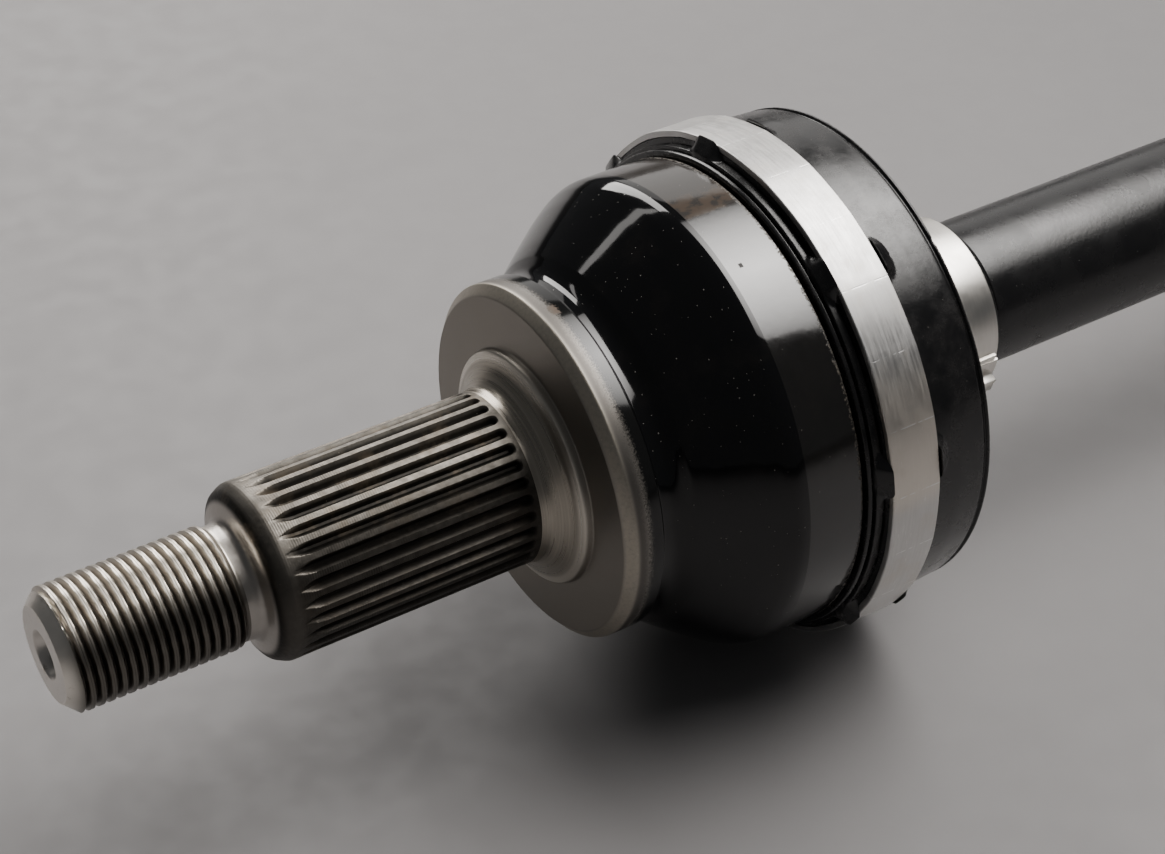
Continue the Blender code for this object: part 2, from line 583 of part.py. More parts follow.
def make_tulip(parts, cutters, material):
    outline = [
        (TULIP_MOUTH, 0), (TULIP_MOUTH, TULIP_RADIUS - 0.001), (TULIP_MOUTH + 0.001, TULIP_RADIUS),
        (0.5925, TULIP_RADIUS), (0.5965, 0.0415), (TULIP_BACK - 0.0015, 0.0340), (TULIP_BACK, 0.0310),
        (TULIP_BACK, SEAL_JOURNAL_RADIUS), (0.6310, SEAL_JOURNAL_RADIUS), (0.6325, 0.0190),
        (0.6340, 0.0132), (0.6360, 0.0132), (0.6375, STUB_SPLINE_RADIUS),
        (STUB_GROOVE[0], STUB_SPLINE_RADIUS), (STUB_GROOVE[0], 0.0128),
        (STUB_GROOVE[1], 0.0128), (STUB_GROOVE[1], STUB_SPLINE_RADIUS),
        (0.6780, STUB_SPLINE_RADIUS), (TOTAL_LENGTH, 0.0122), (TOTAL_LENGTH, 0),
    ]
    tulip = turned("inner_tulip_housing", outline, parts, material, origin=INNER_CENTRE, segments=42)
    boolean(tulip, scallop_cutters("tulip_scallops", SCALLOP_RADIUS))
    before_mouth = TULIP_MOUTH - 0.003
    bore = [
        (before_mouth, 0), (before_mouth, 0.0310), (0.5220, 0.0310), (0.5280, TULIP_BORE),
        (TULIP_FLOOR - 0.004, TULIP_BORE), (TULIP_FLOOR, 0.0200), (TULIP_FLOOR, 0),
    ]
    boolean(tulip, turned("tulip_bore", bore, cutters, origin=INNER_CENTRE, segments=36))
    boolean(tulip, channel_cutters(cutters))
    boolean(tulip, spline_cutters("stub_spline", cutters, STUB_SPLINE_TEETH, 0.0131, STUB_SPLINE_RADIUS,
                                  0.6345, TOTAL_LENGTH + 0.002))
    end = TOTAL_LENGTH
    centre_hole = [(end - 0.009, 0), (end - 0.009, 0.0017), (end - 0.0035, 0.0017), (end + 0.001, 0.0043),
                   (end + 0.001, 0)]
    boolean(tulip, turned("tulip_centre_hole", centre_hole, cutters, segments=16))


def make_adapter(parts, cutters, material):
    """The insert that makes the three-lobed mouth round for the boot."""
    start = TULIP_MOUTH + 0.0015
    end = TULIP_MOUTH + 0.0240
    outer = 0.0470
    adapter = turned("inner_boot_adapter", [(start, outer), (end, outer)], parts, material,
                     inner=[(start, 0.0330), (end, 0.0330)], origin=INNER_CENTRE, segments=48)
    boolean(adapter, trilobe("adapter_bore", cutters, None, start - 0.004, end + 0.004, GAP))


def make_inner_boot(parts, material):
    seat = 0.0473
    cuff_end = TULIP_MOUTH + 0.0250
    cuff = [
        (0.5070, 0.0493), (INNER_CLAMP[0] - GAP, 0.0500), (INNER_CLAMP[0] - GAP, 0.0497),
        (INNER_CLAMP[1] + GAP, 0.0497), (INNER_CLAMP[1] + GAP, 0.0500), (cuff_end, 0.0500),
    ]
    turned("inner_boot_cuff", cuff, parts, material, inner=[(0.5070, seat), (cuff_end, seat)],
           origin=INNER_CENTRE, segments=32)
    folds = {
        "inner_boot_fold_1": [(0.5066, 0.0493), (0.5000, 0.0425), (0.4930, 0.0465), (0.4850, 0.0385)],
        "inner_boot_fold_2": [(0.4844, 0.0380), (0.4780, 0.0425), (0.4706, 0.0345), (0.4674, 0.0362)],
        "inner_boot_fold_3": [(0.4668, 0.0368), (0.4640, 0.0380), (0.4582, 0.0275), (0.4540, 0.0272)],
    }
    for name, outline in folds.items():
        rising = list(reversed(outline))
        inner = [(station, radius - BOOT_WALL) for station, radius in rising]
        turned(name, rising, parts, material, inner=inner, origin=INNER_CENTRE, segments=24)
    start = INNER_NECK_CLAMP[0] - 0.0015
    neck = [
        (start, 0.0174), (INNER_NECK_CLAMP[1] + GAP, 0.0174), (INNER_NECK_CLAMP[1] + GAP, 0.0184),
        (0.4500, 0.0190), (0.4536, 0.0268),
    ]
    bore = [(start, CUFF_SEAT_RADIUS + GAP), (0.4497, CUFF_SEAT_RADIUS + GAP), (0.4536, 0.0244)]
    turned("inner_boot_neck", neck, parts, material, inner=bore, origin=INNER_CENTRE, segments=24)


def make_dust_shield(parts, material):
    """A pressed steel ring on the seal journal, dished towards the gearbox."""
    bore = SEAL_JOURNAL_RADIUS + GAP
    outer = [(0.6015, 0.0270), (0.6030, 0.0330), (0.6085, 0.0335)]
    inner = [(0.6015, bore), (0.6095, bore), (0.6095, bore + 0.0012), (0.6030, bore + 0.0012),
             (0.6042, 0.0318), (0.6085, 0.0323)]
    turned("inner_dust_shield", outer, parts, material, inner=inner, origin=INNER_CENTRE, segments=24)


def parent_carried(parts):
    for carrier_name, prefixes in CARRIED.items():
        carrier = parts.objects[carrier_name]
        for obj in parts.objects:
            if obj.name.startswith(prefixes):
                place = obj.matrix_world.copy()
                obj.parent = carrier
                obj.matrix_world = place


def build():
    clear_scene()
    parts = new_collection(PART_COLLECTION)
    cutters = new_collection(CUTTER_COLLECTION)
    materials = make_materials()
    tracks = track_cutters(cutters)

    make_bell(parts, cutters, materials["bell_steel"], tracks)
    make_inner_race(parts, materials["bearing_steel"], tracks)
    make_cage(parts, cutters, materials["bearing_steel"])
    make_balls(parts, materials["bearing_steel"])
    make_outer_boot(parts, materials["boot_plastic"])

    make_shaft(parts, materials["shaft_paint"])
    # name, station of the ring's near face, inner radius and outer radius
    circlips = (
        ("outer_race_circlip", OUTER_CENTRE - RACE_HALF_WIDTH - 0.0019, 0.0120, 0.0150),
        ("tripod_circlip", INNER_CENTRE + 0.0096, 0.0110, 0.0140),
        ("inner_stub_circlip", STUB_GROOVE[0] + GAP, 0.0131, 0.0153),
    )
    for name, station, inner_radius, outer_radius in circlips:
        make_circlip(name, parts, cutters, materials["spring_steel"], station, inner_radius, outer_radius)

    make_spider(parts, cutters, materials["bearing_steel"])
    make_tripod(parts, materials)
    make_tulip(parts, cutters, materials["tulip_steel"])
    make_dust_shield(parts, materials["shield_steel"])
    make_adapter(parts, cutters, materials["adapter_rubber"])
    make_inner_boot(parts, materials["boot_plastic"])
    make_clamps(parts, cutters, materials["clamp_steel"])
    bpy.context.view_layer.update()
    parent_carried(parts)


build()
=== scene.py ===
"""The looks of the CV axle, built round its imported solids.

Outlines are in millimetres. A station is a distance along the axle from the wheel-end tip, a radius is
measured from the axle's axis, and an azimuth is an angle about it, from +Y towards +Z.
"""

import json
import math

import bmesh
import bpy
import numpy as np
from mathutils import Matrix, Vector


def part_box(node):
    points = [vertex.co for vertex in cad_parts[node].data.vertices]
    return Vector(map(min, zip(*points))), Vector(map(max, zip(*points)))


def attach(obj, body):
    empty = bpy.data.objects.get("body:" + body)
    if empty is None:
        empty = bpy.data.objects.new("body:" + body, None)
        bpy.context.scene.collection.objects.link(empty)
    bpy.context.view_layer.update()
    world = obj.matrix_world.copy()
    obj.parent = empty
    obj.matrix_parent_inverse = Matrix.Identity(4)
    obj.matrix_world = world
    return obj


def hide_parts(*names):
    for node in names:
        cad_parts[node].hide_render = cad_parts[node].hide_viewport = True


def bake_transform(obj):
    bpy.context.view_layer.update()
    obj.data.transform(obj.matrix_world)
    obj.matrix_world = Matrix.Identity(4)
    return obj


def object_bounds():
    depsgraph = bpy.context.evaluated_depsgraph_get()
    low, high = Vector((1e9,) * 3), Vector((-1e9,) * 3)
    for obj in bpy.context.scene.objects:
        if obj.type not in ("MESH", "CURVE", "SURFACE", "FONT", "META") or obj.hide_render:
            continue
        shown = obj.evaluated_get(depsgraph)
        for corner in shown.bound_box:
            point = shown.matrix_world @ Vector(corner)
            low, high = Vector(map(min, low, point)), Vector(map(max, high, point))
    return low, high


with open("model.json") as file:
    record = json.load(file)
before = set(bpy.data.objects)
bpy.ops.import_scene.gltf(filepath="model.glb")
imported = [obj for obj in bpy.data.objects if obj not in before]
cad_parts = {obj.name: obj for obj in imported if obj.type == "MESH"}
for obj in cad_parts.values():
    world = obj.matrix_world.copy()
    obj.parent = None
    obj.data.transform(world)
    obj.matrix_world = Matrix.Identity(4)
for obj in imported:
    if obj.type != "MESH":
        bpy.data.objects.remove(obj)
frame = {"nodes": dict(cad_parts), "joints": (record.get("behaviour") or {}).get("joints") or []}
cad_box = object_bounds()

# -------- driving dimensions, from the frame
MM = 0.001
TIP = cad_box[0].x
LENGTH = (cad_box[1].x - TIP) / MM
JOINTS = {joint["name"]: joint for joint in frame["joints"]}
OUTER_CENTRE = (JOINTS["outer_pitch"]["pos_m"][0] - TIP) / MM
INNER_CENTRE = (JOINTS["inner_pitch"]["pos_m"][0] - TIP) / MM


def start_of(node):
    return (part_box(node)[0].x - TIP) / MM


def end_of(node):
    return (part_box(node)[1].x - TIP) / MM


# Wheel-end stub
THREAD_RADIUS = 12.0
THREAD_PITCH = 2.0
THREAD_DEPTH = 1.15
THREAD_END = 33.5
STUB_JOIN = 35.0            # the stub's neck, where the threaded and the splined piece meet
HUB_SPLINE = {"crest": 17.5, "root": 16.1, "teeth": 32, "start": 42.3, "run_out": 90.3}
BELL_JOIN = 92.4            # where the splined piece and the bell meet

# Bell
BELL_MOUTH = end_of("outer_bell")
BAND_START = 131.5
BAND_END = 143.6
BAND_RADIUS = 48.6
BALL_CIRCLE = 32.0
BALL_RADIUS = 9.28
TRACK_DEPTH = 9.9
TRACK_WIDTH = 12.5
CAVITY_RADIUS = 34.9
FIRST_BALL = 30.0           # degrees
BALLS = 6
MOUTH_ANGLE = 16.7          # degrees from the joint's middle plane at which the tracks reach the mouth

# Clamps: (first station, last station, outer radius)
OUTER_CLAMP = (start_of("outer_large_clamp"), end_of("outer_large_clamp"), 52.95)
OUTER_NECK_CLAMP = (start_of("outer_small_clamp"), end_of("outer_small_clamp"), 18.9)
INNER_CLAMP = (start_of("inner_large_clamp"), end_of("inner_large_clamp"), 51.2)
INNER_NECK_CLAMP = (start_of("inner_small_clamp"), end_of("inner_small_clamp"), 18.9)
BAND_THICKNESS = 1.2
EAR = 135                   # degrees: the ears of the inner boot's clamps
FIRST_FACET = 8.0           # degrees: where the flats round the large clamp start
FACET_TURN = 15.0           # degrees from one flat to the next
NUB_AZIMUTHS = [78.5 + 45 * k for k in range(8)]

# Tripod housing
TULIP_MOUTH = start_of("inner_tulip_housing")
TULIP_FLOOR = 592.0
TULIP_BACK = 601.0
TULIP_RADIUS = 44.5
SCALLOP_RADIUS = 40.0
SCALLOP_DISTANCE = 75.0
FIRST_WAIST = 30.0          # degrees
FIRST_ROLLER = 90.0
ROLLER_CIRCLE = 26.0
CHANNEL_RADIUS = 18.4
CHANNEL_TOP = 36.3
STUB_SPLINE_START = 634.6
STUB_SPLINE = {"crest": 14.3, "root": 13.1, "teeth": 28, "start": STUB_SPLINE_START + 1,
               "run_out": LENGTH + 10}

SHAFT_RADIUS = 15.8
BOOT_WALL = 2.0

SHARP_EDGE = 34             # degrees: edges that turn more than this are shaded sharp
FLOOR_HALF_SIZE = 12.0      # metres
LIGHT_COLOUR = (1.0, 0.972, 0.942)
LIT_STATION = 125.0         # the lights face this point of the axle

# Degrees and millimetres: the camera looks at a point on the bell, from this distance
CAMERA = {"heading": 57.59, "downwards": 37.92, "distance": 505, "lens": 79.5, "target_station": 115.2,
          "target_side": 4.4}


# -------- outlines
def rounded_corner(before, corner, after, radius):
    """Points of the arc that rounds a corner of an outline."""
    back = (before - corner) / np.linalg.norm(before - corner)
    ahead = (after - corner) / np.linalg.norm(after - corner)
    half = math.acos(np.clip(back @ ahead, -1, 1)) / 2
    reach = min(radius / math.tan(half), 0.49 * np.linalg.norm(before - corner),
                0.49 * np.linalg.norm(after - corner))
    radius = reach * math.tan(half)
    middle = (back + ahead) / np.linalg.norm(back + ahead)
    centre = corner + middle * radius / math.sin(half)
    turn = math.pi - 2 * half
    steps = max(2, round(math.degrees(turn) / 12))
    way = -1 if back[0] * ahead[1] > back[1] * ahead[0] else 1
    first = corner + back * reach - centre
    points = []
    for i in range(steps + 1):
        angle = way * turn * i / steps
        cos, sin = math.cos(angle), math.sin(angle)
        points.append(centre + np.array([cos * first[0] - sin * first[1], sin * first[0] + cos * first[1]]))
    return points


def outline(points):
    """(station, radius) pairs; a third number in a point rounds that corner with this radius."""
    made = []
    count = len(points)
    for i, point in enumerate(points):
        corner = np.array(point[:2], float)
        if len(point) == 2:
            made.append(corner)
            continue
        before = np.array(points[i - 1][:2], float)
        after = np.array(points[(i + 1) % count][:2], float)
        made.extend(rounded_corner(before, corner, after, point[2]))
    return np.array(made)


def dense(section, first, last, step, above=0.0):
    """The outline with extra points between two stations, on its stretches outside a radius."""
    made = [section[0]]
    for start, end in zip(section[:-1], section[1:]):
        inside = min(start[0], end[0]) < last and max(start[0], end[0]) > first
        if inside and min(start[1], end[1]) >= above:
            pieces = max(1, round(abs(end[0] - start[0]) / step))
            for k in range(1, pieces):
                point = start + (end - start) * k / pieces
                if first <= point[0] <= last:
                    made.append(point)
        made.append(end)
    return np.array(made)


def wall(section, thickness):
    """A closed section: the outline, and back along it moved square to itself by the wall's thickness."""
    tangent = np.gradient(section, axis=0)
    tangent /= np.linalg.norm(tangent, axis=1)[:, None]
    normal = np.stack([tangent[:, 1], -tangent[:, 0]], axis=1)
    return np.concatenate([section, (section + normal * thickness)[::-1]])


def even_azimuths(count):
    return np.arange(count) * math.tau / count


def turn_from(azimuth, middle, period=math.tau):
    """The turn from the nearest of the places at azimuth `middle` (degrees) and each period after it."""
    return np.mod(azimuth - math.radians(middle) + period / 2, period) - period / 2


def smooth_step(value, low, high):
    share = np.clip((value - low) / (high - low), 0, 1)
    return share * share * (3 - 2 * share)


def soft_floor(value, width):
    """max(value, 0) with its corner rounded over about this width."""
    return (value + np.sqrt(value * value + width * width)) / 2


# -------- turned meshes
def add_mesh(name, points, faces, materials, face_materials=None):
    mesh = bpy.data.meshes.new(name)
    mesh.from_pydata(points.tolist(), [], faces)
    for material in materials:
        mesh.materials.append(material)
    if face_materials is not None:
        mesh.polygons.foreach_set("material_index", face_materials)
    mesh.shade_smooth()
    mesh.set_sharp_from_angle(angle=math.radians(SHARP_EDGE))
    obj = bpy.data.objects.new(name, mesh)
    bpy.context.scene.collection.objects.link(obj)
    return obj


def lathe(name, section, materials, azimuths, shape=None, material_of=None):
    """A closed solid turned about the axle. `shape` may move its points; `material_of` picks a material
    from a stretch's middle station and radius. Stretches that lie on the axis make no face."""
    columns = len(azimuths)
    on_axis = section[:, 1] < 1e-6
    station, azimuth = np.meshgrid(section[:, 0], azimuths, indexing="ij")
    radius = np.repeat(section[:, 1:2], columns, axis=1)
    if shape:
        station, radius = shape(station, radius, azimuth)
    points = []
    first_of = []
    for ring in range(len(section)):
        first_of.append(len(points))
        for column in range(1 if on_axis[ring] else columns):
            r = 0.0 if on_axis[ring] else radius[ring, column]
            points.append((station[ring, column], r * math.cos(azimuths[column]),
                           r * math.sin(azimuths[column])))
    faces, face_materials = [], []
    for ring in range(len(section)):
        following = (ring + 1) % len(section)
        if on_axis[ring] and on_axis[following]:
            continue
        a, b = first_of[ring], first_of[following]
        middle = (section[ring] + section[following]) / 2
        number = material_of(middle[0], middle[1]) if material_of else 0
        for column in range(columns):
            after = (column + 1) % columns
            if on_axis[ring]:
                face = (a, b + after, b + column)
            elif on_axis[following]:
                face = (a + column, a + after, b)
            else:
                face = (a + column, a + after, b + after, b + column)
            faces.append(face)
            face_materials.append(number)
    points = np.array(points)
    if turned_area(section) > 0:
        faces = [face[::-1] for face in faces]
    points[:, 0] = points[:, 0] * MM + TIP
    points[:, 1:] *= MM
    return add_mesh(name, points, faces, materials, face_materials)


def turned_area(section):
    """The signed area of a section, which tells which way round its outline runs."""
    following = np.roll(section, -1, axis=0)
    return float(np.sum(section[:, 0] * following[:, 1] - following[:, 0] * section[:, 1])) / 2


def place(obj, body, node):
    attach(obj, body)
    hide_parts(node)


def turned(name, section, material, columns, body, node, shape=None):
    """A turned piece of one material that rides on a body and stands for a CAD node."""
    place(lathe(name, section, [material], even_azimuths(columns), shape), body, node)


# -------- shader helper
class Value:
    """A number that varies over a surface. Each operator makes the math node that works it out."""

    def __init__(self, shader, socket):
        self.shader = shader
        self.socket = socket

    def __add__(self, other):
        return self.shader.math("ADD", self, other)

    def __sub__(self, other):
        return self.shader.math("SUBTRACT", self, other)

    def __rsub__(self, other):
        return self.shader.math("SUBTRACT", other, self)

    def __mul__(self, other):
        return self.shader.math("MULTIPLY", self, other)

    def __truediv__(self, other):
        return self.shader.math("DIVIDE", self, other)

    def __mod__(self, other):
        return self.shader.math("FLOORED_MODULO", self, other)


class Shader:
    """A material's node tree, with one short call for each kind of node. Its lengths are millimetres."""

    def __init__(self, name):
        self.material = bpy.data.materials.new(name)
        self.material.use_nodes = True
        self.tree = self.material.node_tree
        self.surface = self.tree.nodes["Principled BSDF"]
        self.colour = None
        position = self.node("TexCoord").outputs["Object"]
        scaled = self.node("VectorMath", {0: position, "Scale": 1 / MM}, operation="SCALE")
        self.position = scaled.outputs["Vector"]
        split = self.node("SeparateXYZ", {"Vector": self.position})
        self.station = self.value(split, "X") - TIP / MM
        self.y = self.value(split, "Y")
        self.z = self.value(split, "Z")
        self.radius = self.math("SQRT", self.y * self.y + self.z * self.z)
        self.azimuth = self.math("DEGREES", self.math("ARCTAN2", self.z, self.y))

    def value(self, node, output=0):
        return Value(self, node.outputs[output])

    def feed(self, socket, value):
        if isinstance(value, Value):
            value = value.socket
        if isinstance(value, bpy.types.NodeSocket):
            self.tree.links.new(value, socket)
        elif isinstance(value, tuple) and len(value) == 3 and socket.type == "RGBA":
            socket.default_value = (*value, 1.0)
        else:
            socket.default_value = value

    def node(self, kind, inputs=None, **settings):
        made = self.tree.nodes.new("ShaderNode" + kind)
        for key, value in settings.items():
            setattr(made, key, value)
        for key, value in (inputs or {}).items():
            self.feed(made.inputs[key], value)
        return made

    def paint(self, share, colour, strength=1.0):
        """Lays a colour over the surface's own where `share` is 1."""
        self.colour = self.mix(share, self.colour, colour, strength)

    def finished(self, roughness, relief=None, depth=0.0, **values):
        """Connects the surface and returns the material. A relief of 1 stands `depth` above one of 0."""
        values.update(Base_Color=self.colour, Roughness=roughness)
        if relief is not None:
            bump = self.node("Bump", {"Height": relief, "Distance": depth * MM})
            values["Normal"] = bump.outputs["Normal"]
        for key, value in values.items():
            self.feed(self.surface.inputs[key.replace("_", " ")], value)
        return self.material

    def math(self, operation, a, b=0.0):
        return self.value(self.node("Math", {0: a, 1: b}, operation=operation))

    def larger(self, a, b):
        return self.math("MAXIMUM", a, b)

    def apart(self, a, b):
        return self.math("ABSOLUTE", a - b)

    def spread(self, value, low, high, to_low=0.0, to_high=1.0):
        inputs = {"Value": value, "From Min": low, "From Max": high, "To Min": to_low, "To Max": to_high}
        return self.value(self.node("MapRange", inputs, interpolation_type="SMOOTHSTEP"))

    def window(self, value, from_low, from_full, to_full, to_low):
        """1 between two places, 0 outside them: it rises over the first pair and falls over the second."""
        return self.spread(value, from_low, from_full) * self.spread(value, to_low, to_full)

    def range(self, pattern, low, high):
        """Numbers from low to high where the pattern goes from its usual lowest to its usual highest."""
        return self.spread(pattern, 0.3, 0.7, low, high)

    def mix(self, share, a, b, strength=1.0):
        share = share if strength == 1.0 else share * strength
        made = self.node("Mix", {0: share}, data_type="RGBA")
        self.feed(made.inputs[6], a)
        self.feed(made.inputs[7], b)
        return made.outputs[2]

    def blend(self, share, a, b):
        return self.value(self.node("Mix", {0: share, 2: a, 3: b}, data_type="FLOAT"))

    def noise(self, size, detail=3.0, roughness=0.55, vector=None):
        """Noise whose blobs are about `size` across."""
        inputs = {"Vector": vector or self.position, "Scale": 1 / size, "Detail": detail,
                  "Roughness": roughness}
        return self.value(self.node("TexNoise", inputs))

    def streaks(self, pitch, run, detail=2.0, roughness=0.5):
        """Marks of a tool or a brush: lines round the axle `pitch` apart, each even for about `run`."""
        along = self.station + self.radius * 0.8
        parts = {"X": along / pitch, "Y": self.y / run, "Z": self.z / run}
        return self.noise(1.0, detail, roughness, self.node("CombineXYZ", parts).outputs[0])

    def specks(self, spacing, size, share):
        """Small round spots: 1 inside a spot, 0 outside. `share` of the places have one."""
        cells = self.node("TexVoronoi", {"Vector": self.position, "Scale": 1 / spacing})
        draw = self.node("SeparateColor", {0: cells.outputs["Color"]}).outputs[0]
        chosen = self.math("LESS_THAN", draw, share)
        near = self.spread(cells.outputs["Distance"], size / spacing, 0.4 * size / spacing)
        return near * chosen

    def underside(self):
        """Marks where shade is painted: 1 low down on the front, 0 on top and behind."""
        turn = self.azimuth % 360.0
        return self.window(turn, 112.0, 165.0, 290.0, 330.0)


# -------- materials
def thread_steel():
    """Satin rolled steel, warm in tone: painted shade in the roots and underneath, a fine seam on each crest,
    a cut end painted pale to stand for light on it, some oil.
    """
    sh = Shader("thread_steel")
    turn = sh.station / THREAD_PITCH - sh.azimuth / 360
    from_crest = sh.apart(turn % 1.0, 0.5)
    threaded = sh.spread(sh.radius, 11.55, 11.8) * sh.spread(sh.station, 33.6, 33.2)
    seam = sh.spread(from_crest, 0.055, 0.02) * threaded
    seam *= sh.spread(sh.noise(4.0, 3), 0.35, 0.55, 0.4, 1.0)
    sh.colour = sh.mix(sh.noise(2.4, 4, 0.6), (0.50, 0.46, 0.405), (0.64, 0.595, 0.53))
    # Painted light: the chamfer, the end face and the centre hole are painted pale, nearly white, so that the
    # tip looks lit.
    sh.paint(sh.spread(sh.station, 3.0, 1.6), (0.95, 0.90, 0.82))
    sh.paint(sh.spread(sh.radius, 9.4, 9.0), (0.74, 0.70, 0.65))
    # Painted shade: the roots of the thread are painted near black, more so on the underside.
    below_crest = sh.spread(sh.radius, 11.65, 10.9) * sh.spread(sh.station, 34.2, 33.6)
    in_root = below_crest * sh.spread(sh.station, 2.4, 3.4)
    dark = in_root * sh.blend(sh.underside(), 0.62, 0.92)
    sh.paint(dark, (0.055, 0.047, 0.038))
    sh.paint(seam, (0.09, 0.08, 0.07), 0.75)
    oil = sh.spread(sh.noise(4.0, 4, 0.7), 0.60, 0.74)
    sh.paint(oil, (0.22, 0.16, 0.09), 0.5)
    # Painted shade: the underside is darkened, from just behind the tip onwards.
    painted_underside_shade = sh.underside() * sh.spread(sh.station, 0.2, 3.0)
    sh.paint(painted_underside_shade, (0.055, 0.049, 0.042), 0.8)
    rough = sh.range(sh.noise(0.6, 4), 0.29, 0.37) + in_root * 0.15
    relief = sh.noise(0.8, 2) * 0.2 - seam
    return sh.finished(rough, relief, 0.010, Metallic=1.0)


def spline_steel():
    """Rolled teeth: painted shade in the roots and on the underside, satin crests with fine chatter marks
    across them.
    """
    sh = Shader("spline_steel")
    on_crest = sh.spread(sh.radius, 16.6, 17.42)
    inside = sh.window(sh.station, 41.0, 43.0, 56.0, 74.0)
    wave = sh.math("SINE", sh.station * (math.tau / 0.5))
    patches = sh.spread(sh.noise(6.0, 2), 0.40, 0.60)
    at_top = sh.spread(sh.radius, 17.2, 17.45)
    chatter = wave * inside * (at_top * patches)
    blotches = sh.spread(sh.noise(2.5, 5, 0.7), 0.32, 0.66)
    crest = sh.mix(blotches, (0.082, 0.075, 0.065), (0.190, 0.175, 0.154))
    crest = sh.mix((chatter + 1.0) * 0.11, crest, (0.56, 0.52, 0.455))
    # Painted shade: the roots between the teeth get a near-black colour.
    sh.colour = sh.mix(on_crest, (0.030, 0.028, 0.025), crest)
    smear = sh.spread(sh.noise(8.0, 4, 0.7), 0.48, 0.68)
    sh.paint(smear, (0.19, 0.155, 0.115), 0.45)
    dust = sh.specks(1.3, 0.12, 0.25)
    sh.paint(dust, (0.6, 0.55, 0.45), 0.4)
    # Painted shade on the underside of the teeth.
    sh.paint(sh.underside(), (0.030, 0.027, 0.024), 0.75)
    front = sh.spread(sh.station, 43.5, 41.5) * sh.spread(sh.radius, 15.5, 16.8)
    sh.paint(front, (0.14, 0.13, 0.115), 0.5)
    neck = sh.spread(sh.radius, 15.4, 14.2)
    sh.paint(neck, (0.47, 0.44, 0.405))
    rough = sh.range(sh.noise(0.8, 4), 0.44, 0.54) + neck * -0.14
    relief = chatter * 0.6 + sh.noise(0.45, 4)
    return sh.finished(rough, relief, 0.014, Metallic=1.0)


def shoulder_steel():
    """The hub shoulder: a dull dusty face, a painted highlight on the fillet's lip, a beige rubbed edge, and
    grey steel that fades into black gloss.
    """
    sh = Shader("shoulder_steel")
    marks = sh.streaks(0.45, 30)
    speckle = sh.noise(0.5, 4, 0.7)
    sh.colour = sh.mix(speckle, (0.25, 0.228, 0.20), (0.37, 0.34, 0.30))
    sh.paint(sh.noise(11.0, 3), (0.36, 0.335, 0.30), 0.4)
    fillet = sh.spread(sh.radius, 24.0, 23.4)
    machined = sh.mix(marks, (0.24, 0.215, 0.18), (0.62, 0.57, 0.49))
    # Painted highlight: the fillet's rounded lip is painted brighter all round.
    lip_painted_highlight = sh.spread(sh.radius, 21.6, 22.6) * fillet
    machined = sh.mix(lip_painted_highlight, machined, (0.72, 0.67, 0.59))
    sh.paint(fillet, machined)
    edge = sh.spread(sh.radius, 34.0, 34.6) * sh.spread(sh.station, 102.4, 101.2)
    edge *= sh.spread(sh.noise(0.8, 4, 0.7), 0.25, 0.6, 0.5, 1.0)
    sh.paint(edge, (0.50, 0.46, 0.39))
    dust = sh.larger(sh.specks(1.2, 0.14, 0.40), sh.specks(0.7, 0.10, 0.25))
    sh.paint(dust, (0.72, 0.66, 0.55), 0.7)
    spray = sh.station + sh.range(sh.noise(0.35, 3, 0.7), -0.45, 0.45)
    outside = sh.spread(sh.radius, 34.3, 34.9)
    painted = sh.spread(spray, 103.0, 105.3) * outside
    sh.paint(painted, (0.006, 0.006, 0.006))
    brown_tint = sh.spread(sh.apart(sh.azimuth, 93.5), 3.0, 1.2) * sh.spread(sh.apart(spray, 104.6), 1.1, 0.6)
    sh.paint(brown_tint, (0.10, 0.055, 0.025), 0.8)
    rough = sh.blend(fillet, sh.range(speckle, 0.40, 0.50), sh.range(marks, 0.26, 0.36))
    cylinder = sh.spread(sh.station, 101.4, 102.6) * outside
    sh.paint(cylinder * (1.0 - painted), (0.15, 0.14, 0.128))
    rough = sh.blend(cylinder, rough, 0.47)
    rough = sh.blend(painted, rough, 0.10)
    rough += brown_tint * 0.4
    relief = speckle * 0.6 + marks * 0.7
    relief = sh.blend(painted, relief, 0.5)
    return sh.finished(rough, relief, 0.010, Metallic=sh.blend(painted, 1.0, 0.0))


def black_enamel():
    """Deep gloss black with dust specks and a thin film of handling marks."""
    sh = Shader("black_enamel")
    dust = sh.larger(sh.specks(2.1, 0.17, 0.28), sh.specks(1.0, 0.11, 0.22))
    smear = sh.spread(sh.noise(13.0, 4, 0.65), 0.50, 0.78)
    sh.colour = sh.mix(smear * 0.35, (0.0030, 0.0030, 0.0034), (0.016, 0.0135, 0.0115))
    sh.paint(dust, (0.42, 0.40, 0.36), 0.55)
    film = sh.spread(sh.noise(3.0, 5, 0.6), 0.3, 0.75, 0.05, 0.085)
    rough = film + dust * 0.5
    relief = sh.noise(7.0, 2) + dust * 0.4
    return sh.finished(rough, relief, 0.012)


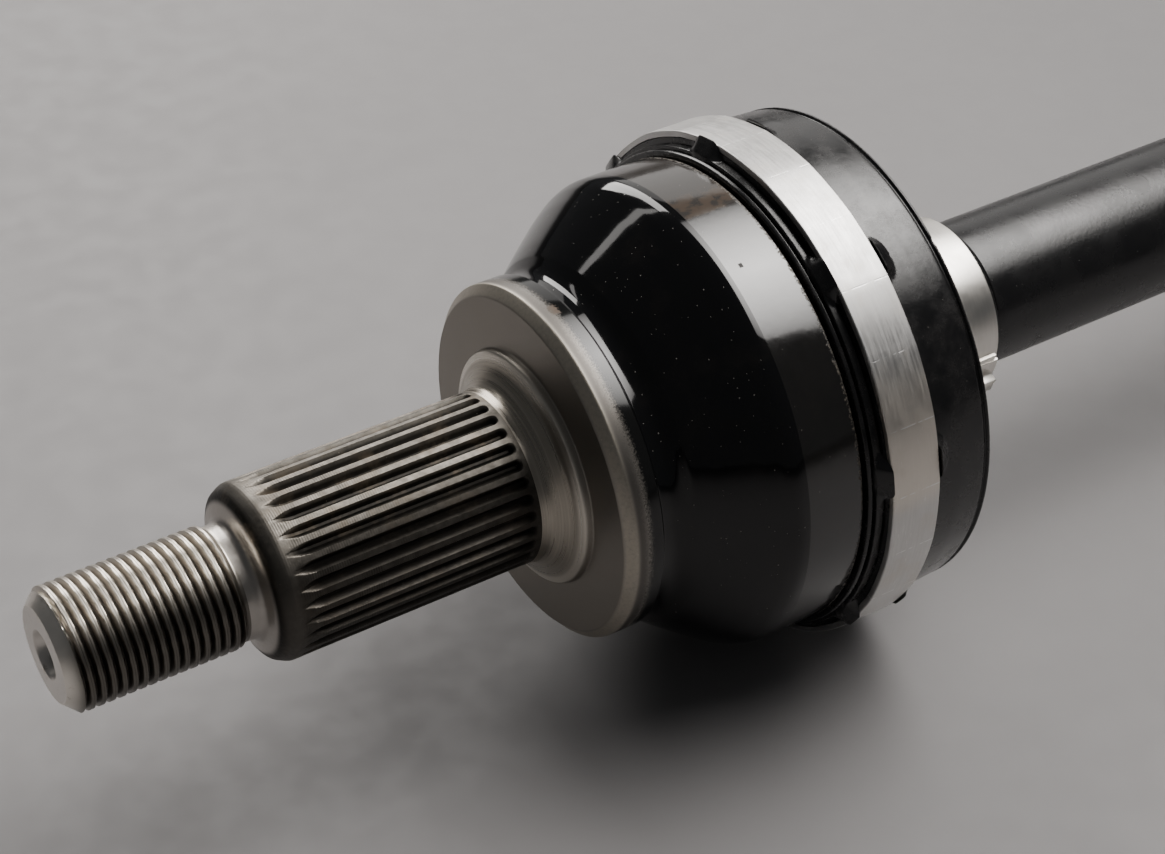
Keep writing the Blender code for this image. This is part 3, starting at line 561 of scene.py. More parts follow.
def ground_band():
    """The ground band round the bell: black-finished and glossy, faintly uneven, with a painted grey-brown
    reflection on its upper back, and a pit.
    """
    sh = Shader("ground_band")
    lines = sh.streaks(0.5, 60)
    sh.colour = sh.mix(sh.noise(5.0, 5, 0.6), (0.0045, 0.0042, 0.0038), (0.011, 0.0098, 0.0088))
    # Painted reflection: a grey-brown tint with brown blotches in it on the band's upper back.
    behind = sh.window(sh.azimuth, 55.0, 68.0, 96.0, 97.5)
    brown_tint = behind * sh.spread(sh.azimuth, 86.0, 92.0) * sh.spread(sh.noise(3.0, 4, 0.6), 0.42, 0.55)
    sh.paint(behind, (0.075, 0.067, 0.061), 0.55)
    sh.paint(brown_tint, (0.095, 0.068, 0.048), 0.6)
    ragged = sh.station + sh.range(sh.noise(0.7, 4, 0.7), -0.5, 0.5)
    grime = sh.spread(ragged, BAND_END - 0.7, BAND_END - 0.1)
    grit = sh.mix(sh.spread(sh.noise(0.35, 4, 0.7), 0.50, 0.62), (0.020, 0.016, 0.012), (0.20, 0.17, 0.13))
    sh.paint(grime, grit)
    pit = sh.spread(sh.apart(sh.station, 134.6), 0.5, 0.3) * sh.spread(sh.apart(sh.azimuth, 113.0), 0.7, 0.4)
    sh.paint(pit, (0.012, 0.008, 0.006))
    dust = sh.specks(1.6, 0.12, 0.3)
    sh.paint(dust, (0.40, 0.37, 0.33), 0.4)
    rough = sh.range(sh.noise(3.0, 4, 0.6), 0.085, 0.13)
    rough = sh.blend(sh.larger(grime, pit), rough, 0.7)
    relief = sh.noise(6.0, 3) * 3.0 + lines * 0.12
    relief += sh.noise(0.5, 4, 0.7) * grime
    return sh.finished(rough, relief, 0.010, IOR=1.75)


def oily_steel():
    """The boot's seat and the bell's inside: dark steel under grease, gritty beside the band."""
    sh = Shader("oily_steel")
    marks = sh.streaks(0.5, 20)
    grease = sh.spread(sh.noise(1.2, 5, 0.7), 0.45, 0.65)
    sh.colour = sh.mix(marks, (0.06, 0.056, 0.052), (0.12, 0.115, 0.11))
    sh.paint(grease, (0.020, 0.015, 0.010), 0.8)
    beside = sh.spread(sh.station, BAND_END + 0.9, BAND_END + 0.4)
    grit = sh.mix(sh.spread(sh.noise(0.35, 4, 0.7), 0.50, 0.62), (0.016, 0.013, 0.010), (0.20, 0.17, 0.13))
    sh.paint(beside, grit)
    rough = sh.blend(beside, sh.blend(grease, 0.26, 0.42), 0.75)
    return sh.finished(rough, marks + grease * 2.0, 0.03, Metallic=sh.blend(beside, 0.6, 0.0))


def boot_elastomer():
    """Moulded black elastomer: glossy but clouded, handled and dusty, with a faint mould texture and a pale
    line painted along the rim's edge as its highlight.
    """
    sh = Shader("boot_elastomer")
    cloud = sh.noise(5.0, 4, 0.65)
    grain = sh.noise(0.5, 4, 0.7)
    dust = sh.specks(1.7, 0.13, 0.30)
    sh.colour = sh.mix(sh.spread(cloud, 0.35, 0.7), (0.0065, 0.0065, 0.007), (0.017, 0.016, 0.016))
    # Painted highlight: a pale line round the rim's edge.
    rim = sh.window(sh.station, 172.2, 172.4, 172.8, 173.2)
    rim_painted_highlight = rim * sh.spread(sh.radius, 49.3, 49.8)
    sh.paint(rim_painted_highlight, (0.16, 0.155, 0.15), 0.8)
    sh.paint(dust, (0.32, 0.30, 0.27), 0.4)
    rough = sh.range(cloud, 0.17, 0.30) + sh.range(grain, -0.02, 0.03)
    relief = grain * 0.5 + sh.noise(3.5, 3) * 3.0
    return sh.finished(rough, relief, 0.014, IOR=1.55)


def clamp_band():
    """The large clamp's soft bright metal: brushed round the band, scored across at each facet's edge, with a
    warm reflection painted low on its front.
    """
    sh = Shader("clamp_band")
    brushed = sh.streaks(0.45, 9.0, 3, 0.6)
    cloud = sh.noise(6.0, 4, 0.6)
    sh.colour = sh.mix(brushed, (0.52, 0.512, 0.50), (0.74, 0.73, 0.715))
    # Painted reflection: a warm beige tint low on the front of the clamp.
    warm = sh.window(sh.azimuth, 142.0, 154.0, 172.0, 179.0)
    sh.paint(warm, (0.86, 0.775, 0.67), 0.6)
    sh.paint(sh.spread(cloud, 0.5, 0.75), (0.62, 0.56, 0.48), 0.3)
    turn = sh.azimuth + (360 - FIRST_FACET)
    from_score = sh.apart(turn % FACET_TURN, FACET_TURN / 2)
    score = sh.spread(from_score, 7.30, 7.45) * sh.spread(sh.noise(1.6, 3), 0.42, 0.56)
    sh.paint(score, (0.97, 0.97, 0.96), 0.7)
    scuffs = sh.spread(sh.streaks(0.4, 3.0, 3, 0.6), 0.64, 0.72)
    sh.paint(scuffs, (0.95, 0.94, 0.92), 0.35)
    rough = sh.range(cloud, 0.36, 0.44) + sh.range(brushed, -0.04, 0.05)
    relief = brushed - score * 1.5
    return sh.finished(rough, relief, 0.010, Metallic=1.0)


def neck_clamp_steel():
    """Smooth bright stainless strip with a warm tint."""
    sh = Shader("neck_clamp_steel")
    brushed = sh.streaks(0.4, 7.0, 3, 0.6)
    cloud = sh.noise(4.0, 4, 0.6)
    sh.colour = sh.mix(brushed, (0.72, 0.69, 0.645), (0.85, 0.82, 0.77))
    sh.paint(sh.spread(cloud, 0.5, 0.8), (0.62, 0.55, 0.45), 0.2)
    return sh.finished(sh.range(cloud, 0.29, 0.36), brushed, 0.006, Metallic=1.0)


def shaft_paint():
    """Semi-gloss black paint with slight orange peel."""
    sh = Shader("shaft_paint")
    peel = sh.noise(0.9, 3, 0.6)
    cloud = sh.noise(9.0, 4, 0.6)
    dust = sh.specks(1.7, 0.13, 0.3)
    sh.colour = sh.mix(cloud, (0.0050, 0.0052, 0.0062), (0.014, 0.0135, 0.0135))
    sh.paint(dust, (0.32, 0.31, 0.29), 0.4)
    return sh.finished(sh.range(cloud, 0.22, 0.32), peel, 0.030)


def forged_steel():
    """The tulip's skin: scaly dark forging, with turned marks where it is machined."""
    sh = Shader("forged_steel")
    scale = sh.noise(1.4, 5, 0.7)
    marks = sh.streaks(0.3, 26)
    machined = sh.larger(sh.spread(sh.station, 599.0, 600.4), sh.spread(sh.radius, 43.6, 44.1))
    forged = sh.mix(scale, (0.060, 0.056, 0.052), (0.145, 0.135, 0.125))
    bright = sh.mix(marks, (0.26, 0.25, 0.235), (0.46, 0.445, 0.42))
    sh.colour = sh.mix(machined, forged, bright)
    oil = sh.spread(sh.noise(12.0, 4, 0.65), 0.50, 0.75)
    sh.paint(oil, (0.09, 0.065, 0.045), 0.45)
    rough = sh.blend(machined, sh.range(scale, 0.42, 0.62), sh.range(marks, 0.24, 0.36))
    relief = sh.blend(machined, scale * 3.0, marks * 0.4)
    return sh.finished(rough, relief, 0.030, Metallic=1.0)


def ground_steel():
    """Ground bearing steel for the pieces inside the joints."""
    sh = Shader("ground_steel")
    cloud = sh.noise(4.0, 4, 0.6)
    fine = sh.noise(0.25, 3)
    sh.colour = sh.mix(cloud, (0.52, 0.51, 0.49), (0.66, 0.65, 0.63))
    grease = sh.spread(sh.noise(5.0, 4, 0.7), 0.55, 0.72)
    sh.paint(grease, (0.14, 0.10, 0.05), 0.6)
    return sh.finished(sh.range(cloud, 0.12, 0.26), fine, 0.004, Metallic=1.0)


def spring_wire():
    """Dark phosphated spring steel."""
    sh = Shader("spring_wire")
    cloud = sh.noise(1.5, 4, 0.65)
    sh.colour = sh.mix(cloud, (0.10, 0.10, 0.102), (0.20, 0.195, 0.19))
    return sh.finished(sh.range(cloud, 0.30, 0.44), sh.noise(0.2, 3), 0.008, Metallic=1.0)


def zinc_plate():
    """Pressed and zinc-plated sheet, slightly yellowed."""
    sh = Shader("zinc_plate")
    cloud = sh.noise(6.0, 5, 0.65)
    marks = sh.streaks(0.5, 18)
    sh.colour = sh.mix(cloud, (0.46, 0.445, 0.40), (0.64, 0.62, 0.56))
    sh.paint(marks, (0.35, 0.33, 0.28), 0.25)
    return sh.finished(sh.range(cloud, 0.30, 0.46), marks + sh.noise(0.5, 3), 0.012, Metallic=1.0)


def adapter_rubber():
    """Matt black rubber with a fine mould grain."""
    sh = Shader("adapter_rubber")
    grain = sh.noise(0.25, 4, 0.7)
    cloud = sh.noise(7.0, 4, 0.6)
    sh.colour = sh.mix(cloud, (0.014, 0.014, 0.014), (0.032, 0.031, 0.030))
    return sh.finished(sh.range(grain, 0.58, 0.74), grain, 0.03)


# -------- stub, hub spline and bell
def cut_thread(station, radius, azimuth):
    """Lowers the bar to a right-hand thread with rounded crests, which fades out at the neck."""
    turn = np.mod(station / THREAD_PITCH - azimuth / math.tau, 1.0)
    from_crest = np.abs(turn - 0.5) * 2
    flank = np.clip((from_crest - 0.40) / 0.50, 0, 1)
    fall = 0.6 * flank + 0.4 * smooth_step(from_crest, 0.40, 0.90)
    fade = 1 - smooth_step(station, THREAD_END - 0.3, THREAD_END + 0.8)
    return station, np.minimum(radius, THREAD_RADIUS - THREAD_DEPTH * fall * fade)


def make_stub_thread(material):
    section = outline([
        (10.0, 0), (10.0, 2.0), (4.6, 2.0), (0.35, 4.55, 0.3), (0, 4.9, 0.2), (0, 9.3, 0.4), (2.7, 12.0),
        (THREAD_END, 12.0), (34.3, 11.15, 0.8), (STUB_JOIN, 11.2), (STUB_JOIN, 0),
    ])
    section = dense(section, 0.3, THREAD_END + 1.2, 0.1, above=9.0)
    turned("stub_thread", section, material, 144, "bell", "outer_bell", cut_thread)


def spline_azimuths(teeth):
    """Azimuths that fall on the corners of every tooth."""
    half = [0.0, 0.08, 0.145, 0.16, 0.18, 0.23, 0.29, 0.35, 0.39, 0.42, 0.5]
    one = half + [1 - share for share in half[-2:0:-1]]
    return np.array([(tooth + 0.5 + share) * math.tau / teeth for tooth in range(teeth) for share in one])


def cut_spline(station, radius, azimuth, spline):
    """Lowers the bar to straight-sided teeth. The grooves start as points and end in a rounded run-out."""
    pitch = math.tau * spline["crest"] / spline["teeth"]
    share = np.mod(azimuth * spline["teeth"] / math.tau + 0.5, 1.0)
    across = np.abs(share - 0.5) * pitch
    along = np.maximum(station - spline["run_out"], 0)
    away = np.hypot(across, along)
    flank = np.clip((away - 0.08 * pitch) / (0.26 * pitch), 0, 1)
    fall = 1 - 0.6 * flank - 0.4 * flank ** 2
    lift = 1 - smooth_step(station, spline["start"], spline["start"] + 5.0)
    depth = (spline["crest"] - spline["root"]) * np.maximum(fall - lift, 0)
    return station, np.minimum(radius, spline["crest"] - depth)


def splined(name, section, spline, material):
    return lathe(name, section, [material], spline_azimuths(spline["teeth"]),
                 lambda station, radius, azimuth: cut_spline(station, radius, azimuth, spline))


def make_hub_spline(material):
    section = outline([
        (STUB_JOIN, 0), (STUB_JOIN, 11.2), (37.6, 11.35, 4.0), (38.3, 14.2, 4.0), (39.2, 16.3, 2.2),
        (41.6, 17.5, 2.2), (BELL_JOIN, 17.5), (BELL_JOIN, 0),
    ])
    section = dense(section, 38.0, 42.5, 0.16, above=14.0)
    section = dense(section, 42.5, 48.0, 0.35, above=14.0)
    section = dense(section, 48.0, 89.6, 2.0, above=14.0)
    section = dense(section, 89.6, BELL_JOIN, 0.16, above=14.0)
    place(splined("hub_spline", section, HUB_SPLINE, material), "bell", "outer_bell")


def track_reach(angle, azimuth):
    """How far a ray from the joint's centre runs to the wall of a ball track; 0 where it meets none.
    `angle` is the ray's angle from the joint's middle plane."""
    turn = turn_from(azimuth, FIRST_BALL, math.tau / BALLS)
    in_plane = np.sqrt(np.sin(angle) ** 2 + (np.cos(angle) * np.cos(turn)) ** 2)
    sideways = np.cos(angle) * np.sin(turn)
    a = (in_plane / TRACK_DEPTH) ** 2 + (sideways / TRACK_WIDTH) ** 2
    b = BALL_CIRCLE * in_plane / TRACK_DEPTH ** 2
    c = (BALL_CIRCLE / TRACK_DEPTH) ** 2 - 1
    inside = b * b - a * c
    reach = (b + np.sqrt(np.maximum(inside, 0))) / a
    return np.where((inside > 0) & (angle > math.radians(-41)), reach, 0)


def cut_tracks(station, radius, azimuth):
    """Opens the bell's cavity and its mouth out to the six ball tracks."""
    offset = station - OUTER_CENTRE
    reach = np.hypot(offset, radius)
    angle = np.arctan2(offset, radius)
    at_mouth = (station > BELL_MOUTH - 0.01) & (radius < 41)
    mouth_angle = np.full_like(angle, math.radians(MOUTH_ANGLE))
    opened = np.maximum(radius, track_reach(mouth_angle, azimuth) * np.cos(mouth_angle))
    in_cavity = (reach < 35.5) & (radius > 22) & ~at_mouth
    cut = np.where(in_cavity, np.maximum(reach, track_reach(angle, azimuth)), reach)
    station = np.where(in_cavity, OUTER_CENTRE + cut * np.sin(angle), station)
    return station, np.where(at_mouth, opened, np.where(in_cavity, cut * np.cos(angle), radius))


def make_bell_body(materials):
    """The bell, in four materials: the hub shoulder, the enamelled cone, the ground band and the inside."""
    outside = outline([
        (BELL_JOIN, 0), (BELL_JOIN, 17.5), (94.6, 17.7, 3.0), (97.2, 21.2, 3.0), (98.2, 23.7, 0.9),
        (99.7, 24.0, 0.4), (99.7, 34.1, 0.5), (101.5, 36.2, 0.7), (107.4, 36.2, 0.35), (107.8, 34.8, 1.3),
        (111.6, 34.9, 3.5), (113.8, 37.7, 2.5), (116.5, 39.9), (120.0, 42.5), (124.0, 45.4),
        (127.3, 47.5, 6.0), (129.6, 48.55, 5.0), (BAND_START, BAND_RADIUS), (BAND_END, BAND_RADIUS, 0.25),
        (BAND_END, 47.2), (BELL_MOUTH - 1.5, 47.2, 0.5), (BELL_MOUTH, 45.7, 0.5), (BELL_MOUTH, 38.0),
        (BELL_MOUTH, 36.4),
    ])
    rays = np.radians(np.linspace(14.9, -52.2, 40))
    cavity = np.stack([OUTER_CENTRE + CAVITY_RADIUS * np.sin(rays), CAVITY_RADIUS * np.cos(rays)], axis=1)
    floor = OUTER_CENTRE - 27.6
    section = np.concatenate([outside, cavity, [(floor, 10.0), (floor, 0)]])
    section = dense(section, 112.0, 131.0, 0.8, above=36.0)

    def material_of(station, radius):
        if math.hypot(station - OUTER_CENTRE, radius) < 36 or station > BAND_END + 0.01:
            return 3
        if station < 107.6:
            return 0
        return 1 if station < BAND_START else 2

    bell = lathe("bell_body", section, materials, even_azimuths(252), cut_tracks, material_of)
    place(bell, "bell", "outer_bell")


# -------- strips bent round the axle
def strip(name, path, first, last, thickness, material, rounding=0.25):
    """A band `thickness` thick whose outer face follows (azimuth in degrees, radius) points, between two
    stations, with rounded long edges."""
    path = np.array(path, float)
    angle = np.radians(path[:, 0])
    outer = np.stack([path[:, 1] * np.cos(angle), path[:, 1] * np.sin(angle)], axis=1)
    tangent = np.gradient(outer, axis=0)
    tangent /= np.linalg.norm(tangent, axis=1)[:, None]
    inward = np.stack([-tangent[:, 1], tangent[:, 0]], axis=1)
    layers = [(first, rounding), (first + 0.3 * rounding, 0.3 * rounding), (first + rounding, 0),
              (last - rounding, 0), (last - 0.3 * rounding, 0.3 * rounding), (last, rounding)]
    rings = []
    for station, sunk in layers:
        rings.append((station, outer + inward * sunk))
    for station, sunk in reversed(layers):
        rings.append((station, outer + inward * (thickness - sunk)))
    points = [(TIP + station * MM, y * MM, z * MM) for station, ring in rings for y, z in ring]
    count = len(path)
    faces = []
    for ring in range(len(rings)):
        a, b = ring * count, (ring + 1) % len(rings) * count
        for i in range(count - 1):
            faces.append((a + i, a + i + 1, b + i + 1, b + i))
    faces.append([ring * count for ring in range(len(rings))])
    faces.append([ring * count + count - 1 for ring in reversed(range(len(rings)))])
    return add_mesh(name, np.array(points), faces, [material])


def arc_path(start, end, radius, step=1.5):
    steps = max(2, round(abs(end - start) / step))
    return [(start + (end - start) * i / steps, radius) for i in range(steps + 1)]


def ear_path(middle, radius, height, half_foot, half_top):
    """The crimped ear of a clamp: up from the band, over a flat top wider than its feet, and down."""
    foot = math.degrees(half_foot / radius)
    top = math.degrees(half_top / (radius + height))
    lead = math.degrees(5.0 / radius)
    rise = [(-lead - foot, 0.05), (-foot * 1.35, 0.05), (-foot * 1.05, 0.25), (-foot * 0.95, 0.6),
            (-top, height - 0.55), (-top * 0.92, height - 0.15), (-top * 0.75, height)]
    sink = [(0.0, height - 0.25)]
    fall = [(-turn, up) for turn, up in reversed(rise)]
    return [(middle + turn, radius + up) for turn, up in rise + sink + fall]


# -------- outer boot
def raise_nubs(station, radius, azimuth):
    """The eight locating nubs on each side of the large clamp: half-ovals that slope away from its edges."""
    first, last, clamp_radius = OUTER_CLAMP
    raised = radius.copy()
    for nub in NUB_AZIMUTHS:
        across = np.clip(np.abs(turn_from(azimuth, nub) * radius) / 5.4, 0, 0.999)
        for edge, reach, side in ((last + 0.25, 3.8, 1), (first - 0.2, 2.1, -1)):
            along = (station - edge) * side
            slope = np.clip(1 - np.maximum(along, 0) / (reach * np.sqrt(1 - across ** 2)), 0, 1)
            height = (clamp_radius + 0.5 - 50.4) * smooth_step(1 - across, 0, 0.6) * slope
            stands = (along > -0.12) & (height > 0) & (radius > 49.2)
            raised = np.where(stands, np.maximum(raised, 50.4 + height), raised)
    return station, raised


def rim_nick(station, radius, azimuth):
    """A small parting-line nick in the rim's edge."""
    turn = np.degrees(turn_from(azimuth, 124))
    depth = 0.45 * np.exp(-(turn / 0.8) ** 2) * smooth_step(station, 171.6, 172.4)
    return station, np.where(radius > 49, radius - depth, radius)


def shape_cuff(station, radius, azimuth):
    return rim_nick(*raise_nubs(station, radius, azimuth), azimuth)


def make_outer_cuff(material):
    first, last, _ = OUTER_CLAMP
    rim = end_of("outer_boot_cuff")
    section = outline([
        (BAND_END + 0.55, 47.5), (BAND_END + 0.55, 49.6, 0.3), (145.0, 49.8, 0.3), (145.1, 49.3),
        (145.35, 49.3), (145.45, 50.35, 0.15), (first - 0.35, 50.5, 0.15), (first - 0.3, 49.7),
        (first - 0.1, 49.7), (first + 0.1, 51.5), (last - 0.1, 51.5), (last + 0.1, 50.2),
        (last + 0.3, 50.2), (last + 0.4, 50.8, 0.2), (165.0, 50.75), (170.9, 50.45, 0.5),
        (171.6, 49.7, 0.3), (172.05, 50.45, 0.15), (172.5, 50.4, 0.25), (rim, 49.3, 0.3), (rim, 48.0),
        (169.7, 47.7), (163.0, 47.5),
    ])
    section = dense(section, first - 2.4, first - 0.3, 0.2, above=49.9)
    section = dense(section, last + 0.3, last + 4.2, 0.25, above=49.9)
    section = dense(section, 163.0, rim, 0.5, above=49.0)
    turned("outer_cuff", section, material, 480, "bell", "outer_boot_cuff", shape_cuff)


def between(section, first, last):
    """The stretch of a rising outline between two stations."""
    radii = [np.interp(station, section[:, 0], section[:, 1]) for station in (first, last)]
    kept = section[(section[:, 0] > first + 0.01) & (section[:, 0] < last - 0.01)]
    return np.concatenate([[(first, radii[0])], kept, [(last, radii[1])]])


def waved_cone(start, end, waves, depth):
    """A cone's outline with rounded rings in it."""
    start, end = np.array(start, float), np.array(end, float)
    along = (end - start) / np.linalg.norm(end - start)
    normal = np.array([-along[1], along[0]])
    points = []
    for share in np.linspace(0, 1, 73):
        height = depth * math.sin(share * waves * math.tau) * min(1, 8 * share, 8 * (1 - share))
        points.append(start + (end - start) * share + normal * height)
    return np.array(points)


def flexible(name, section, material, node):
    """A boot skin turned from its outline with the boot's wall thickness; it stands for a CAD node, which it
    hides.
    """
    skin = lathe(name, wall(section, BOOT_WALL), [material], even_azimuths(144))
    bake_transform(skin)
    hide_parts(node)


def make_skins(name, skin, cuts, folds, material):
    """Cuts a boot's skin at some stations, and makes each length a skin that stands for one fold."""
    for i, fold in enumerate(folds):
        flexible(f"{name}_{i + 1}", between(skin, cuts[i], cuts[i + 1]), material, fold)


def make_outer_folds(material):
    skin = waved_cone((end_of("outer_boot_cuff"), 49.0), (186.4, 20.4), 3.5, 0.5)
    cuts = np.linspace(skin[0][0], skin[-1][0], 5)
    folds = ["outer_boot_fold_1", "outer_boot_fold_1", "outer_boot_fold_2", "outer_boot_fold_3"]
    make_skins("outer_skin", skin, cuts, folds, material)
    return skin[-1]


def make_outer_neck(material, skin_end):
    first, last, _ = OUTER_NECK_CLAMP
    end = end_of("outer_boot_neck")
    section = outline([
        tuple(skin_end), (187.3, 18.7, 1.0), (first - 0.4, 17.9, 0.3), (first + 0.3, 17.5, 0.2),
        (last - 0.3, 17.5, 0.2), (last + 0.4, 17.75, 0.2), (end - 0.3, 17.6, 0.3), (end, 17.1, 0.2),
        (end, 15.2), (188.2, 15.2), (skin_end[0] - 1.4, 18.6),
    ])
    turned("outer_neck", section, material, 144, "shaft", "outer_boot_neck")


# -------- clamps
def facet(station, radius, azimuth):
    """The flats left round the large clamp by the tool that closed it."""
    half = math.radians(FACET_TURN / 2)
    turn = np.mod(azimuth - math.radians(FIRST_FACET), 2 * half) - half
    flat = math.cos(half) / np.cos(turn)
    return station, radius * (0.75 + 0.25 * flat)


def make_band(name, clamp, body, node, material, azimuths, sunk=0.0, shape=None):
    """A clamp's closed band, with its outer face `sunk` below the clamp's radius."""
    first, last, radius = clamp
    inner, outer = radius - BAND_THICKNESS, radius - sunk
    section = outline([(first, inner), (first, outer, 0.3), (last, outer, 0.3), (last, inner)])
    place(lathe(name, section, [material], azimuths, shape), body, node)


def add_strip(name, clamp, body, node, material, path, inset, thickness):
    """A strip on a clamp, `inset` from both edges of its band."""
    first, last, _ = clamp
    place(strip(name, path, first + inset, last - inset, thickness, material), body, node)


def make_outer_large_clamp(material):
    where = (OUTER_CLAMP, "bell", "outer_large_clamp", material)
    radius = OUTER_CLAMP[2]
    azimuths = np.radians(np.arange(FIRST_FACET, FIRST_FACET + 360, FACET_TURN / 10))
    make_band("outer_large_band", *where, azimuths, shape=facet)
    add_strip("outer_large_overlap", *where, arc_path(304, 326, radius + 1.1), 0.2, 1.1)
    for azimuth in (310, 320):
        path = arc_path(azimuth - 1.6, azimuth + 1.6, radius + 1.35, 0.4)
        add_strip(f"outer_large_hook_{azimuth}", *where, path, 3.2, 0.8)


def make_outer_small_clamp(material):
    where = (OUTER_NECK_CLAMP, "shaft", "outer_small_clamp", material)
    radius = OUTER_NECK_CLAMP[2]
    make_band("outer_small_band", *where, even_azimuths(180))
    add_strip("outer_small_overlap", *where, arc_path(187, 262, radius + 0.75, 2.0), 0.15, 0.75)
    add_strip("outer_small_ear", *where, ear_path(203, radius + 0.7, 2.1, 1.9, 2.0), 0.9, 0.7)


def make_eared_clamp(name, clamp, body, height, material):
    """A thin band with a crimped ear and the outer end of the strip lapped over it."""
    where = (clamp, body, name + "_clamp", material)
    radius = clamp[2]
    make_band(name + "_band", *where, even_azimuths(216), sunk=0.2)
    lead = math.degrees(14.0 / radius)
    add_strip(name + "_lap", *where, arc_path(EAR - lead, EAR + lead, radius + 0.15), 0.1, 0.6)
    add_strip(name + "_ear", *where, ear_path(EAR, radius + 0.15, height, 2.2, 3.0), 0.9, 0.8)


# -------- shaft
def make_shaft(material):
    race_groove = OUTER_CENTRE - 13.6
    spider_groove = INNER_CENTRE + 9.2
    start = start_of("drive_shaft")
    end = end_of("drive_shaft")
    section = outline([
        (start, 0), (start, 11.8), (start + 1.2, 13.0), (race_groove - 2.2, 13.0),
        (race_groove - 2.2, 11.7), (race_groove, 11.7), (race_groove, 13.0), (164.0, 13.0), (165.0, 13.5),
        (186.2, 13.5), (188.5, 15.0), (203.0, 15.0), (203.8, SHAFT_RADIUS, 0.4), (435.2, SHAFT_RADIUS, 0.4),
        (436.0, 15.0), (450.0, 15.0), (450.8, SHAFT_RADIUS, 0.4), (457.0, SHAFT_RADIUS, 20.0),
        (478.0, 13.0, 20.0), (493.0, 12.0), (spider_groove, 12.0), (spider_groove, 10.7),
        (spider_groove + 2.2, 10.7), (spider_groove + 2.2, 12.0), (563.0, 12.0), (end, 10.8), (end, 0),
    ])
    section = dense(section, 203.0, 458.0, 4.0, above=15.0)
    turned("bar_shaft", section, material, 144, "shaft", "drive_shaft")


# -------- tripod housing
def trilobe_radius(azimuth, growth=0.0):
    """The housing's three-lobed outline, its corners slightly rounded."""
    turn = turn_from(azimuth, FIRST_WAIST, math.tau / 3)
    sideways = SCALLOP_DISTANCE * np.sin(turn)
    scallop = SCALLOP_RADIUS - growth
    under = np.maximum(scallop ** 2 - sideways ** 2, 0)
    waist = np.where(np.abs(sideways) < scallop, SCALLOP_DISTANCE * np.cos(turn) - np.sqrt(under), 200.0)
    return (TULIP_RADIUS + growth) - soft_floor(TULIP_RADIUS + growth - waist, 0.8)


def channel_radius(azimuth):
    """The bore's outline with the three roller channels."""
    turn = turn_from(azimuth, FIRST_ROLLER, math.tau / 3)
    sideways = ROLLER_CIRCLE * np.sin(turn)
    under = np.maximum(CHANNEL_RADIUS ** 2 - sideways ** 2, 0)
    side = np.where(np.abs(sideways) < CHANNEL_RADIUS, ROLLER_CIRCLE * np.cos(turn) + np.sqrt(under), 0.0)
    return np.minimum(side, CHANNEL_TOP / np.cos(turn))


def shape_tulip(station, radius, azimuth):
    """Shrinks the outside to the three lobes and grows the bore out to the channels."""
    in_bore = (station < TULIP_FLOOR + 0.01) & (radius < 32)
    bore = np.where(radius > 19, np.maximum(radius, channel_radius(azimuth)), radius)
    return station, np.where(in_bore, bore, np.minimum(radius, trilobe_radius(azimuth)))


def make_tulip_body(material):
    mouth, floor, back = TULIP_MOUTH, TULIP_FLOOR, TULIP_BACK
    section = outline([
        (floor, 0), (floor, 10.0), (floor, 18.0), (floor - 0.5, 20.0), (floor - 4, 25.5), (550, 25.5),
        (528, 25.5), (522, 31.0), (mouth, 31.0), (mouth, 43.4, 0.3), (mouth + 1.0, 44.5, 0.5),
        (592.5, 44.5, 3.0), (596.5, 41.5, 4.0), (599.5, 34.0, 2.0), (back, 31.0, 1.0), (back, 21.0, 0.8),
        (631.0, 21.0, 0.5), (632.5, 19.0, 0.5), (634.0, 13.2, 0.8), (STUB_SPLINE_START, 13.2),
        (STUB_SPLINE_START, 0),
    ])
    section = dense(section, mouth + 1, 592.0, 5.0, above=44.0)
    section = dense(section, 592.0, back, 0.7, above=30.0)
    turned("tulip_body", section, material, 288, "tulip", "inner_tulip_housing", shape_tulip)


def make_stub_spline(material, wire):
    """The splined stub that enters the gearbox, with its circlip groove and centre hole."""
    groove = (start_of("inner_stub_circlip") - 0.3, end_of("inner_stub_circlip") + 0.3)
    section = outline([
        (STUB_SPLINE_START, 0), (STUB_SPLINE_START, 13.2), (636.0, 13.2, 0.3), (637.4, 14.3, 0.4),
        (groove[0], 14.3, 0.1), (groove[0], 12.8), (groove[1], 12.8), (groove[1], 14.3, 0.1),
        (678.0, 14.3, 0.4), (LENGTH, 12.2, 0.4), (LENGTH, 4.4, 0.3), (LENGTH - 3.6, 2.0),
        (LENGTH - 9.0, 2.0), (LENGTH - 9.0, 0),
    ])
    section = dense(section, 636.0, 668.0, 1.6, above=13.0)
    teeth = splined("gearbox_spline", section, STUB_SPLINE, material)
    place(teeth, "tulip", "inner_tulip_housing")
    first, last = groove
    ring = strip("stub_circlip", arc_path(-81, 261, 15.25, 3.0), first + 0.3, last - 0.3, 2.1, wire)
    place(ring, "tulip", "inner_stub_circlip")


def shape_adapter(station, radius, azimuth):
    return station, np.where(radius < 40, trilobe_radius(azimuth, 0.35), radius)


def make_adapter(material):
    """The rubber insert that makes the three-lobed mouth round for the boot."""
    first = start_of("inner_boot_adapter")
    last = end_of("inner_boot_adapter")
    section = outline([(first, 36.0), (first, 46.9, 0.4), (last, 46.9, 0.5), (last, 36.0)])
    turned("boot_adapter", section, material, 288, "tulip", "inner_boot_adapter",
           shape_adapter)


def make_dust_shield(material):
    section = outline([
        (601.7, 21.3), (609.5, 21.3), (609.5, 22.6, 0.3), (603.6, 22.6, 0.8), (603.9, 27.0, 1.5),
        (604.6, 31.6, 1.0), (608.5, 32.2), (608.5, 33.4, 0.3), (603.4, 33.0, 1.4), (602.4, 27.0, 1.5),
    ])
    turned("dust_shield", section, material, 144, "tulip", "inner_dust_shield")


